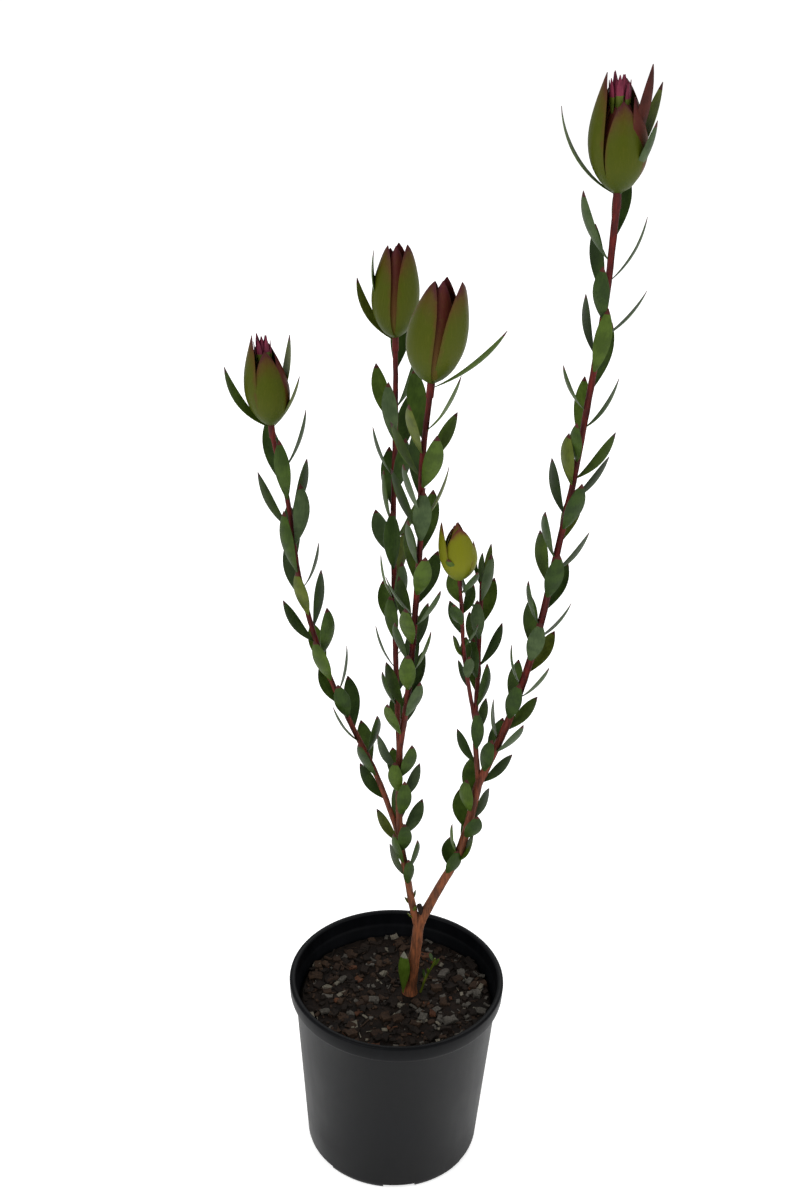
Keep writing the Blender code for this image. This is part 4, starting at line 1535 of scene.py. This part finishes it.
WIDE_SKINS = (Skin.OLIVE, Skin.OLIVE, Skin.MAROON, Skin.OLIVE, Skin.MAROON)
SLIM_SKINS = (Skin.OLIVE, Skin.OLIVE, Skin.MAROON, Skin.MAROON)
LOW_INNER = (0.84, 0.80, 0.86, 0.82, 0.78)

HEADS = (
    FlowerHead(
        "head_right", (97.5, -29.4, 653.4), (93.5, -31.0, 720.0), 13.8, 2.1,
        (Petal(-80.0, 0.78, 21.0, 0.45), Petal(185.0, 1.00, 19.0, 0.42), Petal(-25.0, 0.80, 16.0, 0.55),
         Petal(50.0, 0.93, 17.0, 0.40), Petal(120.0, 0.90, 18.0, 0.45)),
        7,
        (Ray(182.0, 2.0, 56.0, 6.5, (62.0, 2.0), 10.0), Ray(-25.0, -6.0, 60.0, 6.0, (26.0, 6.0), 50.0),
         Ray(22.0, -3.0, 54.0, 10.5, (38.0, 14.0), 0.0), Ray(-38.0, 3.0, 47.0, 9.0, (44.0, 12.0), 0.0)),
        WIDE_SKINS, inner_phase=-60.0, inner_heights=LOW_INNER, purple_ray=1,
    ),
    FlowerHead(
        "head_left", (-81.0, 29.7, 498.9), (-87.0, 30.0, 560.0), 11.6, 1.9,
        (Petal(-75.0, 0.84, 19.0, 0.42), Petal(195.0, 1.00, 17.0, 0.40), Petal(-5.0, 0.78, 14.0, 0.55),
         Petal(55.0, 0.90, 15.0, 0.35), Petal(125.0, 0.88, 16.0, 0.45)),
        6,
        (Ray(184.0, 3.0, 47.0, 8.0, (58.0, 2.0), 25.0), Ray(25.0, -1.0, 52.0, 10.0, (34.0, 4.0), 0.0),
         Ray(-12.0, 3.0, 38.0, 9.0, (50.0, 14.0), 0.0)),
        WIDE_SKINS, inner_phase=-60.0, inner_heights=LOW_INNER,
    ),
    FlowerHead(
        "head_rear", (-12.1, 49.1, 546.4), (-13.5, 50.5, 608.5), 12.4, 1.9,
        (Petal(215.0, 0.98, 20.0, 0.35), Petal(-38.0, 1.00, 17.0, 0.62), Petal(60.0, 0.98, 16.0, 0.25),
         Petal(130.0, 0.92, 17.0, 0.40)),
        4,
        (Ray(195.0, -4.0, 50.0, 8.5, (42.0, -12.0), 20.0), Ray(175.0, 3.0, 44.0, 7.0, (58.0, 4.0), 30.0)),
        SLIM_SKINS,
    ),
    FlowerHead(
        "head_front", (7.05, -44.2, 555.4), (11.5, -47.0, 620.5), 14.4, 2.1,
        (Petal(225.0, 0.97, 21.0, 0.35), Petal(-32.0, 1.00, 21.0, 0.75), Petal(50.0, 0.98, 18.0, 0.22),
         Petal(130.0, 0.92, 18.0, 0.40)),
        4,
        (Ray(-5.0, 4.0, 52.0, 6.0, (62.0, 26.0), 40.0),),
        SLIM_SKINS,
    ),
    FlowerHead(
        "bud_inner", (28.3, -21.5, 433.4), (24.5, -22.5, 474.5), 9.0, 1.3,
        (Petal(200.0, 1.00, 13.0, 0.85), Petal(-75.0, 0.92, 16.0, 0.55), Petal(0.0, 0.62, 12.0, 0.95),
         Petal(110.0, 0.80, 12.0, 0.60)),
        0,
        (Ray(240.0, 1.0, 22.0, 9.0, (48.0, 14.0), 0.0),),
        (Skin.YOUNG,),
    ),
)


def main() -> None:
    """Builds the studio, the pot and the plant over the frame, and notes their sizes."""
    logging.basicConfig(level=logging.INFO, format="%(message)s")
    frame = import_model()
    kit = Kit.prepared(frame["nodes"])
    Studio().build()
    Pot().build()
    PottingMix().build()
    Wood().build(kit)
    FootLeaf().build(kit)
    for stem in STEMS:
        stem.build(kit)
    for head in HEADS:
        head.build(kit)


if __name__ == "__main__":
    main()
